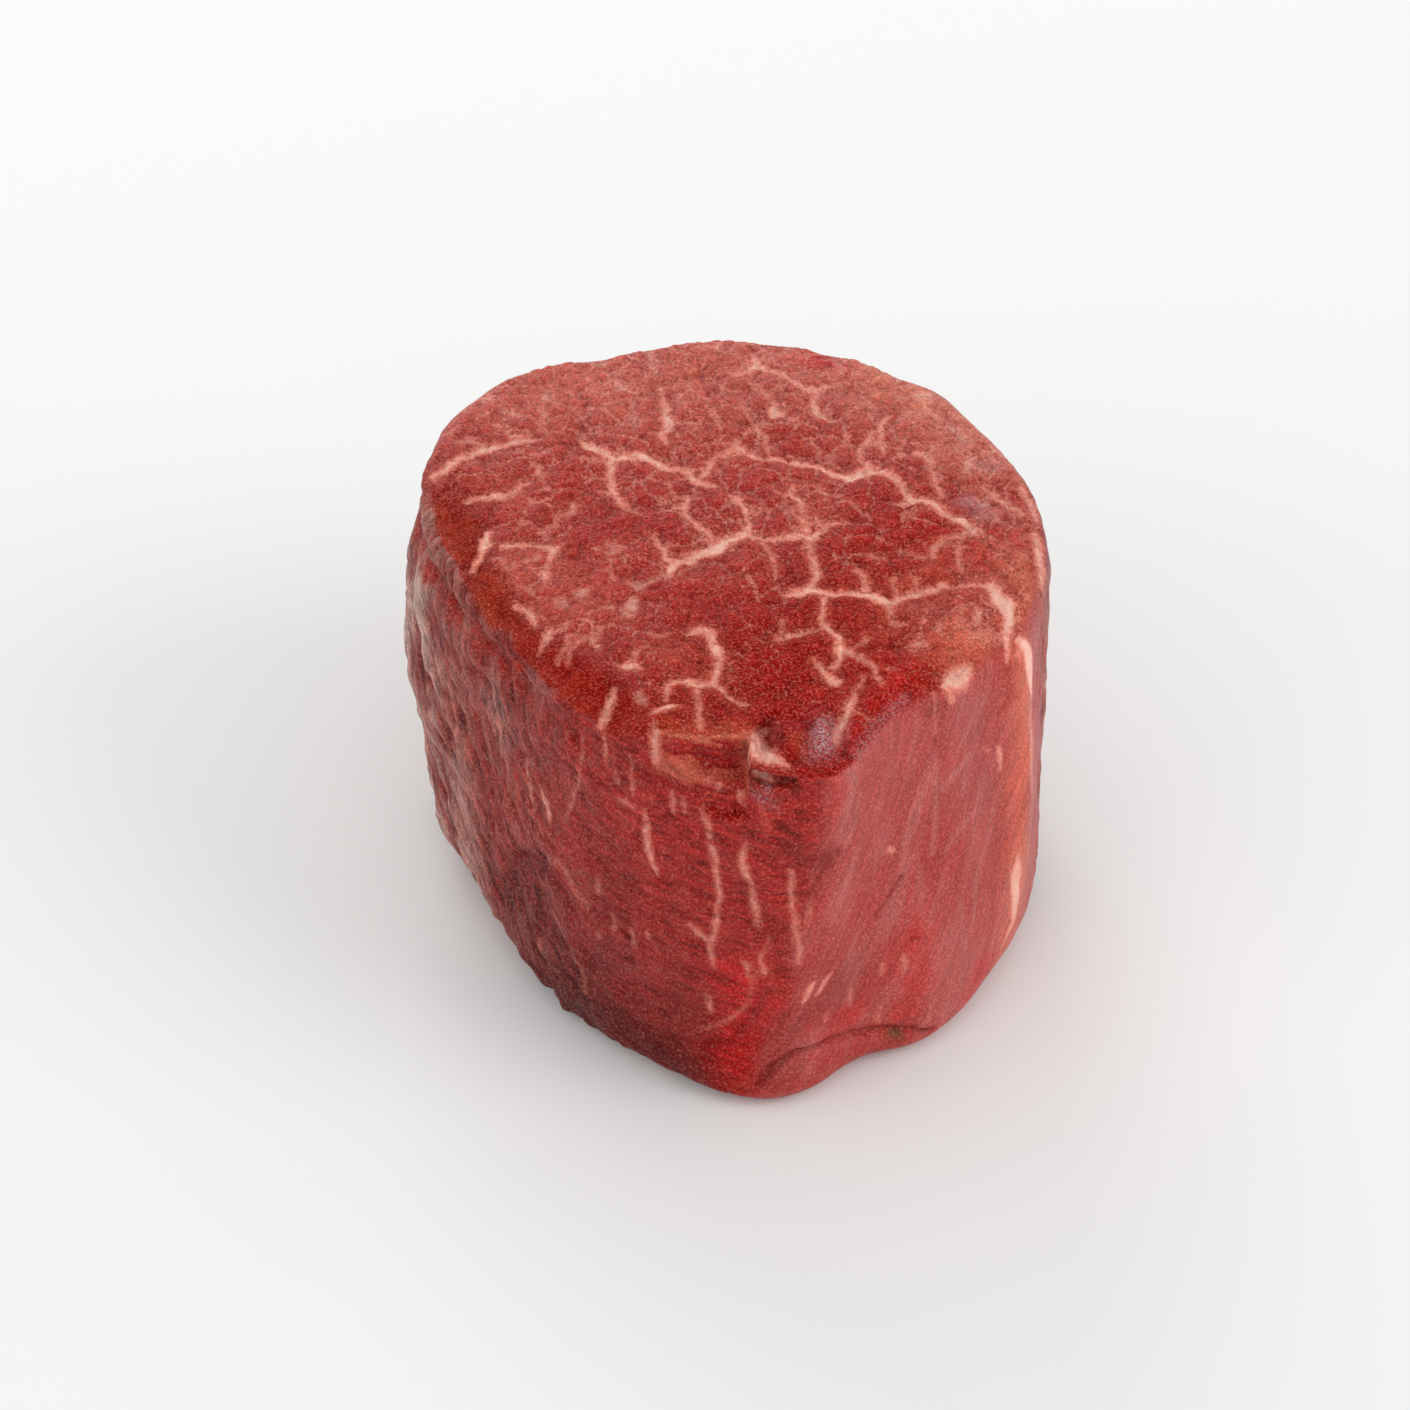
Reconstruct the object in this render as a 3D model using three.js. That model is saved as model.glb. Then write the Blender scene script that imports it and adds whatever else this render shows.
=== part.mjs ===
// A thick raw beef tenderloin steak standing on one of its two cut faces, as one closed solid.
// Millimetres, +Z up, the origin under the middle of the steak on the surface it stands on.
// Bearings are in degrees, anticlockwise from +X seen from above; the blunt front corner is near 285.
import * as THREE from "three";
import { ImprovedNoise } from "three/addons/math/ImprovedNoise.js";
import { mergeVertices } from "three/addons/utils/BufferGeometryUtils.js";

const HEIGHT = 50.5; // a two-inch cut
const CELLS = { across: 32, up: 28 }; // of the grid: across each cut face, and up the side
const ARC_ROWS = 3; // of the rows up the side, those that turn under at the foot, and over at the rim

// How a size changes round the steak: base is its usual value in mm, and each swell adds
// [bearing, size in mm, spread in degrees].
const RIM_REACH = {
  base: 37.8,
  swells: [
    [170, 4.4, 66], [206, -11.1, 43], [285, 4.9, 12], [308, -2.8, 27], // the broad form
    [78, 0.6, 22], [110, -0.9, 10], [137, 0.8, 15], [48, 0.9, 4], // uneven places along the back
  ],
};
const FOOT_REACH = {
  base: 37.2,
  swells: [[164, 2.4, 24], [201, -6.2, 43], [288, 8.6, 27], [293, -5.6, 11], [335, 1.7, 18]],
};
const BELLY = { base: 0.2, swells: [[190, 1.4, 38]] };
const RIM_ROUND = { base: 2.4, swells: [[215, 0.8, 38], [282, 0.6, 16], [330, 1.4, 24]] };
const FOOT_ROUND = { base: 3.0, swells: [[196, 3.8, 30], [335, 1.5, 26]] };

// Hollows and lumps of the side. Each runs along a path of [bearing, height] places, fades over
// `fade` mm to either side of it, and stands `out` mm proud, or sinks in if that is negative.
const SIDE_FORMS = [
  { name: "groove under the left rim", path: [[152, 47], [222, 45.5], [246, 46.5]], fade: 1.9, out: -1.5 },
  { name: "upper lump at the left", path: [[164, 39.5], [176, 39]], fade: 2.6, out: 0.5 },
  { name: "lower lump at the left", path: [[166, 31], [184, 27]], fade: 5.0, out: 1.3 },
  { name: "torn pit under the corner", path: [[274, 46.5], [283, 46.2]], fade: 1.9, out: -2.2 },
  { name: "step under the torn ledge", path: [[257, 47], [272, 47.2]], fade: 1.8, out: -0.9 },
  { name: "flap below that step", path: [[256, 44], [270, 43.6]], fade: 1.6, out: 0.6 },
  { name: "seam between the front muscles", path: [[287, 38], [277, 24], [272, 9]], fade: 2.4, out: -0.7 },
  { name: "crease over the lip", path: [[275, 6], [279, 8.6], [289, 8.8], [306, 5.6]], fade: 1.5, out: -1.5 },
  { name: "lip at the front foot", path: [[277, 3.4], [288, 4], [302, 2.8]], fade: 2.2, out: 0.4 },
  { name: "crease down the right front", path: [[303, 29], [296, 23]], fade: 1.6, out: -0.8 },
  { name: "arched pit at the left front", path: [[219, 13], [224, 19], [231, 17]], fade: 1.9, out: -1.3 },
  { name: "crevice in the left foot", path: [[236, 1], [238, 5]], fade: 1.5, out: -1.2 },
  { name: "soft fold down the right edge", path: [[334, 44], [336, 26], [331, 8]], fade: 3.2, out: 0.8 },
  { name: "hollow beside that fold", path: [[325, 40], [325, 18]], fade: 4.5, out: -0.7 },
  { name: "fold down the back right", path: [[52, 46], [46, 22], [40, 6]], fade: 3.4, out: 0.9 },
  { name: "seam down the back", path: [[104, 48], [98, 26], [108, 4]], fade: 2.2, out: -1.0 },
  { name: "hollow at the back left", path: [[138, 36], [144, 14]], fade: 6.0, out: -1.0 },
];

// Hollows and lumps of the upper cut face, on paths of [x, y] from the axis.
const FACE_FORMS = [
  { name: "slump to the torn corner", path: [[4, -30], [9, -37]], fade: 8, out: -1.3 },
  { name: "slump to the left rim", path: [[-30, 6], [-24, -12], [-16, -24]], fade: 6, out: -0.7 },
  { name: "fat vein that pulls in", path: [[-9, 12], [2, 17], [14, 15]], fade: 3.4, out: -0.5 },
  { name: "low rise at the right", path: [[22, 6], [26, -6]], fade: 9, out: 0.5 },
];

// The grain of the lean: how far it stands out, and the length of its lumps along and across the strands.
const FACE_GRAIN = { out: 0.5, along: 5.2, across: 5.2, lean: 0 };
const SIDE_GRAINS = [
  { name: "stringy left side", bearing: 198, spread: 34, out: 1.1, along: 13, across: 4.2, lean: 38 },
  { name: "wrinkled front left", bearing: 256, spread: 26, out: 0.5, along: 14, across: 4.0, lean: 82 },
  { name: "smooth right side", bearing: 318, spread: 34, out: 0.5, along: 22, across: 8, lean: -12 },
  { name: "back", bearing: 90, spread: 84, out: 0.9, along: 15, across: 5.5, lean: 24 },
];

const noise = new ImprovedNoise();
const toRadians = THREE.MathUtils.degToRad;
const toDegrees = THREE.MathUtils.radToDeg;

// The turn from one bearing to another, between -180 and 180 degrees.
function turn(from, to) {
  return THREE.MathUtils.euclideanModulo(to - from + 180, 360) - 180;
}

function bell(distance, spread) {
  return Math.exp(-((distance / spread) ** 2));
}

function sizeAt(size, bearing) {
  return size.swells.reduce(
    (sum, [middle, extra, spread]) => sum + extra * bell(turn(middle, bearing), spread),
    size.base,
  );
}

// How far the smooth side is from the axis.
function wallReach(bearing, height) {
  const share = height / HEIGHT;
  const foot = sizeAt(FOOT_REACH, bearing);
  const rim = sizeAt(RIM_REACH, bearing);
  const belly = sizeAt(BELLY, bearing) * Math.sin(Math.PI * share);
  return THREE.MathUtils.lerp(foot, rim, THREE.MathUtils.smoothstep(share, 0, 1)) + belly;
}

// The smooth side at a row of the grid, as { reach, height }: a quarter turn out from the flat foot,
// the wall, and a quarter turn in to the upper cut face.
function sideAtRow(bearing, row) {
  const foot = sizeAt(FOOT_ROUND, bearing);
  const rim = sizeAt(RIM_ROUND, bearing);
  const lastWallRow = CELLS.up - ARC_ROWS;
  if (row < ARC_ROWS) {
    const angle = (row / ARC_ROWS) * (Math.PI / 2);
    return {
      reach: wallReach(bearing, foot) - foot * (1 - Math.sin(angle)),
      height: foot * (1 - Math.cos(angle)),
    };
  }
  if (row > lastWallRow) {
    const angle = ((row - lastWallRow) / ARC_ROWS) * (Math.PI / 2);
    return {
      reach: wallReach(bearing, HEIGHT - rim) - rim * (1 - Math.cos(angle)),
      height: HEIGHT - rim * (1 - Math.sin(angle)),
    };
  }
  const share = (row - ARC_ROWS) / (lastWallRow - ARC_ROWS);
  const height = THREE.MathUtils.lerp(foot, HEIGHT - rim, share);
  return { reach: wallReach(bearing, height), height };
}

// Carries a point of the square box, which spans -1 to 1, onto the smooth steak. The square is eased
// into a disc, so that the cells stay even, and the disc is stretched to the side's reach.
function ontoSteak(point) {
  const x = point.x * Math.sqrt(1 - (point.y * point.y) / 2);
  const y = point.y * Math.sqrt(1 - (point.x * point.x) / 2);
  const { reach, height } = sideAtRow(toDegrees(Math.atan2(y, x)), ((point.z + 1) / 2) * CELLS.up);
  point.set(x * reach, y * reach, height);
}

function distanceToPath(place, path) {
  const line = new THREE.Line3();
  const nearest = new THREE.Vector3();
  let least = Infinity;
  for (let i = 1; i < path.length; i++) {
    line.set(path[i - 1], path[i]);
    line.closestPointToPoint(place, true, nearest);
    least = Math.min(least, nearest.distanceTo(place));
  }
  return least;
}

// What the forms add at a place. `flatten` turns a place into a point of a flat plane in mm, and is
// given the form's first place to unroll the side about.
function formsAt(forms, place, flatten) {
  return forms.reduce((sum, form) => {
    const [start] = form.path;
    const path = form.path.map((entry) => flatten(entry, start));
    return sum + form.out * bell(distanceToPath(flatten(place, start), path), form.fade);
  }, 0);
}

// Noise drawn out along strands that lean away from upright.
function grainAt(grain, across, up) {
  const lean = toRadians(grain.lean);
  const along = up * Math.cos(lean) - across * Math.sin(lean);
  const over = across * Math.cos(lean) + up * Math.sin(lean);
  return grain.out * noise.noise(over / grain.across, along / grain.along, grain.lean);
}

// How far the side stands out from the smooth form.
function sideRelief(bearing, height, reach) {
  const across = (from, to) => toRadians(turn(from, to)) * reach;
  const flatten = ([b, h], [start]) => new THREE.Vector3(across(start, b), h, 0);
  const grain = SIDE_GRAINS.reduce((sum, each) => {
    const share = bell(turn(each.bearing, bearing), each.spread);
    return sum + share * grainAt(each, across(each.bearing, bearing), height);
  }, 0);
  return formsAt(SIDE_FORMS, [bearing, height], flatten) + grain;
}

function faceRelief(x, y) {
  const flatten = ([px, py]) => new THREE.Vector3(px, py, 0);
  return formsAt(FACE_FORMS, [x, y], flatten) + grainAt(FACE_GRAIN, x, y);
}

// Moves a point out along its normal by the relief. The foot stays flat.
function roughen(point, outward) {
  const bearing = toDegrees(Math.atan2(point.y, point.x));
  const facingUp = THREE.MathUtils.smoothstep(outward.z, 0.3, 0.95);
  const offFloor = THREE.MathUtils.smoothstep(point.z, 0, 2);
  const side = sideRelief(bearing, point.z, Math.hypot(point.x, point.y));
  const face = faceRelief(point.x, point.y);
  point.addScaledVector(outward, offFloor * THREE.MathUtils.lerp(side, face, facingUp));
}

function steakGeometry() {
  const box = new THREE.BoxGeometry(2, 2, 2, CELLS.across, CELLS.across, CELLS.up);
  box.deleteAttribute("normal");
  box.deleteAttribute("uv");
  const geometry = mergeVertices(box);
  const position = geometry.getAttribute("position");
  const point = new THREE.Vector3();
  for (let i = 0; i < position.count; i++) {
    point.fromBufferAttribute(position, i);
    ontoSteak(point);
    position.setXYZ(i, point.x, point.y, point.z);
  }
  geometry.computeVertexNormals();
  const normal = geometry.getAttribute("normal");
  const outward = new THREE.Vector3();
  for (let i = 0; i < position.count; i++) {
    point.fromBufferAttribute(position, i);
    outward.fromBufferAttribute(normal, i);
    roughen(point, outward);
    position.setXYZ(i, point.x, point.y, point.z);
  }
  geometry.computeBoundingBox();
  const middle = geometry.boundingBox.getCenter(new THREE.Vector3());
  geometry.translate(-middle.x, -middle.y, 0);
  geometry.computeVertexNormals();
  return geometry;
}

const rawBeef = new THREE.MeshStandardMaterial({ color: 0xa2403a, roughness: 0.45, metalness: 0 });

const steak = new THREE.Mesh(steakGeometry(), rawBeef);
steak.name = "steak";

const part = new THREE.Group();
part.add(steak);

export default part;
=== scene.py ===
# A raw beef tenderloin steak for a studio picture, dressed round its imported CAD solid.
# The steak is one piece. A rounded copy of the solid is torn, creased and grained in mesh code, and
# its fat, silver skin and gloss are painted on the mesh for a procedural material.
# Tables hold millimetres, measured from the axis that the outline runs round; a bearing is in degrees,
# anticlockwise from +X seen from above. Blender's own lengths are in metres.
import math
from itertools import product

import bmesh
import bpy
import numpy as np
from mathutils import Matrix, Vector


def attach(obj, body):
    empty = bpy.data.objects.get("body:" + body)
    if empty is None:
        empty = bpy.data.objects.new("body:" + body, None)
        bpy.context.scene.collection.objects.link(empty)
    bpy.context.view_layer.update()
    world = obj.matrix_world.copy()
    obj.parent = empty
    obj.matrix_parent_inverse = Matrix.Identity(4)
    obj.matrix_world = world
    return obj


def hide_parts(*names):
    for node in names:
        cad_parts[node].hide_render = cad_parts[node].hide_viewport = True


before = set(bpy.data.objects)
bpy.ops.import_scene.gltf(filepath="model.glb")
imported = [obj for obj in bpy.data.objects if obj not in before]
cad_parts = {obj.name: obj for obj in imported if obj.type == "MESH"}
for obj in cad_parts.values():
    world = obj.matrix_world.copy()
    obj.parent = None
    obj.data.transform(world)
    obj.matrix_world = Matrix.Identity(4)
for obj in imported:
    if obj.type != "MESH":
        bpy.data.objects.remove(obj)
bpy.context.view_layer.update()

MM = 0.001
AXIS = (0.085, 1.872)  # mm from the CAD origin
HEIGHT = 50.5  # of the upper cut face
SIDE_REACH = 37.0  # mean distance from the axis to the side, for unrolling the side flat
VOXEL = 0.30  # of the fine mesh
MOST_TRIANGLES = 192_000

# --- What shows on the steak -----------------------------------------------------------------------

# Fat on the upper cut face: how white it is from 0 to 1, and then its path of (x, y, width).
FACE_FAT = (
    # The vein inside the left rim, with its outer and inner branches.
    (0.9, (-34.4, 12.1, 0.8), (-32.7, 13.9, 1.2), (-31.6, 15.3, 0.8), (-30.2, 16.2, 0.7),
     (-28.7, 17.2, 1.1), (-25.9, 18.2, 0.9), (-24.8, 18.7, 1), (-22.6, 19.1, 0.5)),
    (0.55, (-32, 18.6, 0.5), (-30.3, 18.6, 0.7), (-28.7, 17.8, 0.8)),
    (0.65, (-27.4, 21.5, 0.4), (-26.2, 20.3, 0.5), (-24.6, 19.2, 0.8)),
    # The wide vein at the back left, its tail to the middle and its branch to the front.
    (1, (-17, 18.8, 0.6), (-16.3, 18, 1.2), (-15.3, 17.1, 1), (-14.2, 16.2, 1.3), (-13.1, 15.4, 1),
     (-11.2, 15.8, 0.9), (-9.8, 15.8, 1.2), (-8.7, 15.4, 1.1), (-7.8, 14.6, 0.9), (-7, 13.6, 0.6),
     (-5.9, 13.3, 0.5), (-5.1, 13.7, 0.5)),
    (0.95, (-5.1, 13.7, 0.5), (-4.2, 12.6, 0.7), (-3.3, 11.4, 0.9), (-2.6, 10.7, 0.9), (-1.2, 10.1, 0.3)),
    (0.95, (-13.8, 15, 1.1), (-13.5, 13.7, 0.9), (-13.4, 10.9, 0.6), (-13.3, 9.6, 0.7),
     (-12.8, 8.2, 0.6), (-12.3, 7.1, 0.5), (-11.3, 5.9, 0.4), (-10.2, 5.2, 0.2)),
    (0.6, (-14.6, 8.9, 0.3), (-13.3, 9.1, 0.6)),
    # The vein to the back, its branch, and the pale band to the back rim.
    (0.9, (-7.6, 28.4, 0.5), (-7.3, 25.4, 0.5), (-7, 23.4, 1), (-6.7, 22.1, 1.3), (-7, 20.9, 0.9),
     (-7.6, 19.6, 0.6), (-6.9, 18.4, 0.3)),
    (0.6, (-6.4, 22.6, 0.5), (-5.3, 21.8, 0.4), (-3.9, 21.6, 0.4), (-2.8, 22.2, 0.3)),
    (0.5, (-8.9, 35.4, 1), (-8.7, 33.4, 0.9), (-8.4, 31.8, 0.6)),
    # The long vein to the right: its start, its back half, middle and front half, and a spur.
    (0.75, (1.5, 18.9, 0.3), (1.3, 17.6, 0.6), (-0.1, 15.9, 0.4), (-1.1, 15.7, 0.4), (-1.7, 14.3, 0.7),
     (-2, 13.2, 0.6), (-2.9, 11.3, 0.6)),
    (1, (1.3, 17.5, 0.8), (2.4, 17.1, 0.6), (3.7, 15.9, 0.7), (6.3, 15.3, 0.7), (9.1, 14.8, 0.6),
     (11.3, 14, 0.6), (12.2, 13, 0.8), (14.1, 12.3, 1.3), (14.9, 11.9, 1.7)),
    (1, (14.9, 11.9, 1.7), (16.1, 12.3, 1.3), (17.2, 12.9, 1.2), (18.3, 12.3, 1), (19.7, 11.5, 0.8),
     (20.8, 10.4, 1), (21.2, 8.7, 1), (21.9, 7.6, 1.5)),
    (1, (21.9, 7.6, 1.5), (23.3, 7.1, 0.9), (24.7, 5.9, 0.9), (25.8, 4.6, 1), (27.2, 3.2, 1.4),
     (28.3, 2.1, 1.3), (28.9, 0.9, 0.8)),
    (0.8, (21.6, 7.3, 1), (20.4, 6.4, 0.4)),
    # The thick vein at the middle: the vein down to it, itself, its faint end, its run to the right.
    (0.85, (0.5, 8.4, 0.3), (1.6, 7.3, 0.5), (2.2, 6.2, 0.6), (2.8, 4.4, 0.6), (2.6, 2.3, 0.7),
     (2.4, 1.3, 1)),
    (1, (3.8, 0.8, 0.7), (2.4, 1.2, 1.1), (1.1, 0.7, 1.1), (-0.3, 0, 1.5), (-1.2, -1.2, 1.8),
     (-2.6, -1.8, 1.3), (-3.7, -2.7, 1.1), (-5.1, -3.5, 1.1), (-6, -4.1, 1.3), (-6.4, -5.4, 0.8),
     (-6.6, -6.1, 0.4)),
    (0.5, (-6.8, -5.6, 0.5), (-7.6, -6.6, 0.7), (-8.9, -7.4, 0.8), (-10.2, -8.1, 1.2), (-11.2, -7.7, 0.4)),
    (0.85, (2.4, 1.2, 0.9), (3.6, 0.7, 0.6), (5.2, 0.4, 0.4), (7.2, 0.7, 0.6), (9.1, 0.9, 0.9),
     (10.2, 0.7, 1), (11.3, 1.8, 0.6), (11.9, 2.6, 0.5), (13, 2.9, 0.4), (14.4, 3.2, 0.3)),
    # Thinner veins left and right of it.
    (0.85, (-4.2, 8.2, 0.4), (-4.6, 7.2, 0.5), (-4.9, 6.4, 0.6), (-4.4, 4.6, 0.5), (-3.5, 3.2, 0.5),
     (-2.8, 2.1, 0.5), (-2, 1.6, 0.5), (-1.6, 0.5, 0.5), (-1.2, -0.3, 0.8)),
    (0.7, (-4.9, 6.3, 0.5), (-6.3, 6.2, 0.5), (-7.4, 5.9, 0.3)),
    (0.8, (-8.6, 0.6, 0.3), (-7.1, -1.6, 0.5), (-6.9, -2.7, 0.6), (-6.2, -3.7, 0.9)),
    (0.8, (8.1, 9.6, 0.3), (7.7, 8.4, 0.4), (8.8, 7.1, 0.6), (9.1, 5.4, 0.6), (9.1, 3.7, 0.5),
     (9.3, 2.1, 0.6), (9.6, 0.9, 0.7)),
    (0.5, (10.5, 9.8, 0.3), (11.9, 8.4, 0.4), (11.9, 7.2, 0.3)),
    (0.6, (10.8, 3.9, 0.4), (11.2, 2.6, 0.5), (11.3, 1.9, 0.5)),
    # Veins and flecks at the left and inside the left front rim.
    (0.8, (-30.4, 8.1, 0.5), (-28.7, 8.6, 0.8), (-27.3, 8.9, 1), (-25.9, 8.5, 0.8), (-24.8, 9.6, 0.8),
     (-24.2, 10.4, 0.6), (-23.1, 10.9, 0.4)),
    (0.55, (-22.8, 14, 0.3), (-22, 12.3, 0.5), (-21.6, 11.2, 0.4)),
    (0.55, (-17.8, 6.3, 0.9), (-17.9, 5.4, 0.7), (-19.5, 4.3, 0.3), (-19.9, 2.9, 0.3)),
    (0.8, (-25.9, -0.1, 0.7), (-24.8, -0.4, 0.8), (-22.6, -0.3, 0.7), (-20.9, -0.7, 0.8),
     (-19.8, -1.6, 1.1), (-20.2, -2.9, 0.6), (-20.6, -4.3, 0.5), (-20.9, -5.6, 0.9)),
    (0.5, (-26.7, -2.3, 0.5), (-25.9, -2.7, 0.5), (-25.3, -4.3, 0.5)),
    (0.35, (-22.9, -3.2, 1.2), (-21.9, -2.8, 1.2)),
    # Fat on the left rim, and the lines and streaks that run over it.
    (1, (-27.6, 2.2, 0.9), (-27.9, 0.8, 1.5), (-28.2, -0.6, 0.8), (-28.7, -2.2, 0.5), (-29.2, -3.6, 0.3)),
    (0.75, (-24, -10.9, 0.5), (-22.6, -11.8, 0.8), (-22, -12.7, 1), (-21.8, -14.1, 0.5)),
    (0.75, (-20.2, -15.3, 0.9), (-20.6, -16.6, 0.7), (-21.2, -18.2, 0.3)),
    (0.5, (-17.7, -16.4, 0.5), (-18.2, -17.8, 0.5), (-19, -19.9, 0.3)),
    (0.55, (-17.7, -17, 0.3), (-17.9, -20.2, 0.3)),
    (0.5, (-15.5, -16.6, 0.6), (-16.6, -16.9, 0.4), (-17.3, -18, 0.4)),
    (0.75, (-12.6, -24.6, 0.4), (-12.8, -25.5, 0.7), (-13.1, -26.6, 0.9), (-13.6, -28.2, 0.9),
     (-13.9, -29.6, 0.5)),
    (0.4, (-9.9, -26.5, 1), (-9.3, -27.6, 1.3)),
    (1, (-11.8, -21.2, 0.6), (-10.8, -21.4, 1.1), (-9.8, -21.7, 0.5)),
    (0.6, (-10.6, -20.8, 0.4), (-10.3, -19.6, 0.3)),
    (0.75, (-14.9, -16.2, 0.5), (-14.8, -17.4, 0.6), (-14.4, -18.2, 0.4)),
    # Soft spots at the left front.
    (0.45, (-16.9, -8.9, 1.2), (-16.4, -9.3, 1.2)),
    (0.35, (-19.1, -10.2, 1.4), (-18.6, -10.7, 1.4)),
    (0.45, (-13.3, -11.8, 0.8), (-12.9, -11.8, 0.8)),
    (0.55, (-10.7, -10.9, 1.6), (-10.6, -11.5, 1.6)),
    (0.45, (-11.6, -12.5, 1.3), (-11.2, -12.9, 1.3)),
    (0.4, (-13.2, -1.2, 1), (-13.1, -2.4, 0.9)),
    # The vein to the front, its left and right turns, and its thin way to the ledge.
    (0.95, (-4.3, -15.7, 0.3), (-3.7, -15.9, 0.6), (-2.6, -15.7, 0.7), (-1.6, -16.3, 0.9),
     (-1.4, -17.7, 0.8), (-1, -19.1, 1.3), (-0.6, -20.4, 0.7), (-1, -22.1, 0.8), (-1.3, -23.5, 0.7),
     (-1.7, -24.3, 0.8)),
    (0.9, (-1.7, -24.3, 0.8), (-3.4, -24.3, 0.9), (-5.1, -24.2, 0.6), (-6.4, -24.6, 0.7),
     (-6.9, -26, 0.5), (-6.9, -26.9, 0.3)),
    (0.75, (-1.5, -24.3, 0.6), (-0.3, -25.4, 0.5), (1.1, -26.6, 0.4), (2.2, -27.2, 0.3)),
    (0.7, (-3.4, -24.4, 0.7), (-3.3, -25.2, 0.6), (-3.1, -27.4, 0.4), (-3, -29.1, 0.4), (-2.9, -31.8, 0.5)),
    (0.45, (-9.2, -15.7, 0.4), (-7.6, -16.8, 0.5), (-6.7, -16.4, 0.3)),
    # The wavy vein at the right, in thirds, the wide fat inside the right rim, and a drop of the vein.
    (1, (7, -9.2, 0.3), (7.7, -9.1, 0.6), (9.1, -8.7, 1.1), (9.8, -8.5, 1.8), (11.1, -9.3, 0.9),
     (12.7, -9.5, 0.8), (14.1, -9.3, 0.9), (15.8, -9.2, 1.2)),
    (1, (15.8, -9.2, 1.2), (16.9, -9.9, 1.1), (18, -11, 1.5), (19.1, -11.1, 1.3), (19.9, -10.4, 0.9),
     (21.1, -9.6, 1), (22.2, -9.3, 1.1), (23.8, -9.1, 0.8)),
    (1, (23.8, -9.1, 0.8), (24.7, -8.2, 0.9), (26.1, -8.2, 0.6), (27.4, -8.5, 0.5), (29.1, -8.5, 0.5),
     (30.5, -8.5, 1)),
    (1, (30.5, -8.5, 1.1), (31.3, -9.9, 2), (32.2, -11.5, 2.2), (32.4, -13.4, 1.5), (32, -15.4, 0.7),
     (32.1, -18.2, 0.3)),
    (0.7, (18.4, -11.6, 1), (18.7, -12.7, 0.8), (19.2, -14.6, 0.3)),
    # Thin veins behind it, and the thin arc and the upright vein right of the middle.
    (0.7, (14.9, -5.4, 0.3), (15.8, -6.3, 0.5), (16.2, -7.7, 0.6), (16.3, -8.8, 0.8)),
    (0.6, (19.3, -7.1, 0.4), (19.4, -8.4, 0.4), (19.6, -9.8, 0.6)),
    (0.6, (21.6, -6.6, 0.4), (21.9, -8.2, 0.5), (22, -9, 0.6)),
    (0.6, (3, 0.6, 0.5), (4.4, -1, 0.5), (5.2, -2.4, 0.5), (5.6, -4.1, 0.4), (5.8, -6.3, 0.3)),
    (0.75, (9.7, -0.2, 0.5), (9.8, -2.7, 0.5), (10.2, -4.6, 0.8), (10.5, -6, 0.9), (10.1, -7.9, 0.9)),
    # The ring at the right, the lines in and right of it, and the soft vein left of it.
    (0.8, (24.1, -3.2, 0.5), (24.3, -1.6, 0.8), (25.2, -0.4, 0.7), (26.3, 0.1, 0.7), (28.6, 1.2, 0.8)),
    (0.85, (27.4, 0.2, 0.4), (26.9, -2.7, 0.5), (27, -4.3, 0.5), (27.2, -5.7, 0.4)),
    (0.6, (28.9, 1.4, 0.9), (29.9, 0.6, 0.6), (31.3, -0.2, 0.4)),
    (0.55, (20.2, -2.1, 0.4), (21.9, -2.9, 0.6), (23.8, -3.5, 0.7)),
    (0.35, (17, -3.2, 1), (18.2, -3.6, 0.8)),
    # The vein in front of the wavy one, its branches, and flecks by it.
    (0.95, (11.3, -10.2, 0.5), (11, -12.7, 0.5), (10.9, -14.3, 0.7), (11.6, -15.2, 0.8), (12.6, -16.6, 1),
     (12.9, -18.2, 0.6), (13.1, -19.3, 1.1), (12.7, -20.7, 0.7), (12.2, -21.8, 0.5)),
    (0.65, (13.2, -19.5, 1), (14.4, -19.6, 0.8), (15.8, -21, 0.5), (16.9, -22.1, 0.4), (17.4, -24.9, 0.3)),
    (0.85, (10, -20.9, 0.4), (10.6, -22, 0.6), (11.6, -23.3, 0.9), (12.4, -24.2, 1)),
    (0.85, (11, -14.9, 0.6), (10.5, -15.4, 0.5), (9.1, -15.6, 0.6), (7.7, -16.1, 0.6), (5.6, -17, 0.3)),
    (0.55, (6.3, -14.1, 0.3), (6.5, -15.4, 0.4), (6.6, -16.5, 0.5)),
    # The vein to the wet corner, and short lines beside it.
    (0.9, (14.4, -26.3, 0.3), (14.4, -26.8, 0.5), (13.8, -27.9, 0.7), (13.6, -29.1, 0.9),
     (13, -30.2, 0.9), (12.4, -31.8, 0.8), (12.2, -33.5, 0.4)),
    (0.5, (13.6, -28.4, 0.3), (14.9, -29.8, 0.4), (16, -30.6, 0.2)),
    (0.5, (15.5, -23.7, 0.5), (15.6, -24.4, 0.4), (14.6, -25.8, 0.3)),
    # A short vein, a star with a ray, and two short veins by the star at the right.
    (0.8, (28.8, -12.4, 0.5), (28.7, -13.4, 0.7), (28.7, -14.3, 0.5)),
    (0.75, (20.6, -18.2, 0.4), (21.9, -17.9, 1.3), (22.6, -18.4, 0.7)),
    (0.6, (22, -16.7, 0.3), (21.9, -18, 0.6), (21.2, -19.1, 0.3)),
    (0.6, (24.4, -14.9, 0.5), (24.3, -15.8, 0.7), (24.8, -16.6, 0.4)),
    (0.6, (16.1, -17.4, 0.5), (15.6, -18, 0.5), (14.9, -18.4, 0.3)),
    # The right rim: the fat band, the patch at the front, two pale rims and a pale band inside.
    (0.95, (33.9, -14.8, 0.5), (33.7, -16.2, 1.2), (33.7, -18.2, 1.8), (33.8, -20.2, 1.8), (34.4, -22.4, 1)),
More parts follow.
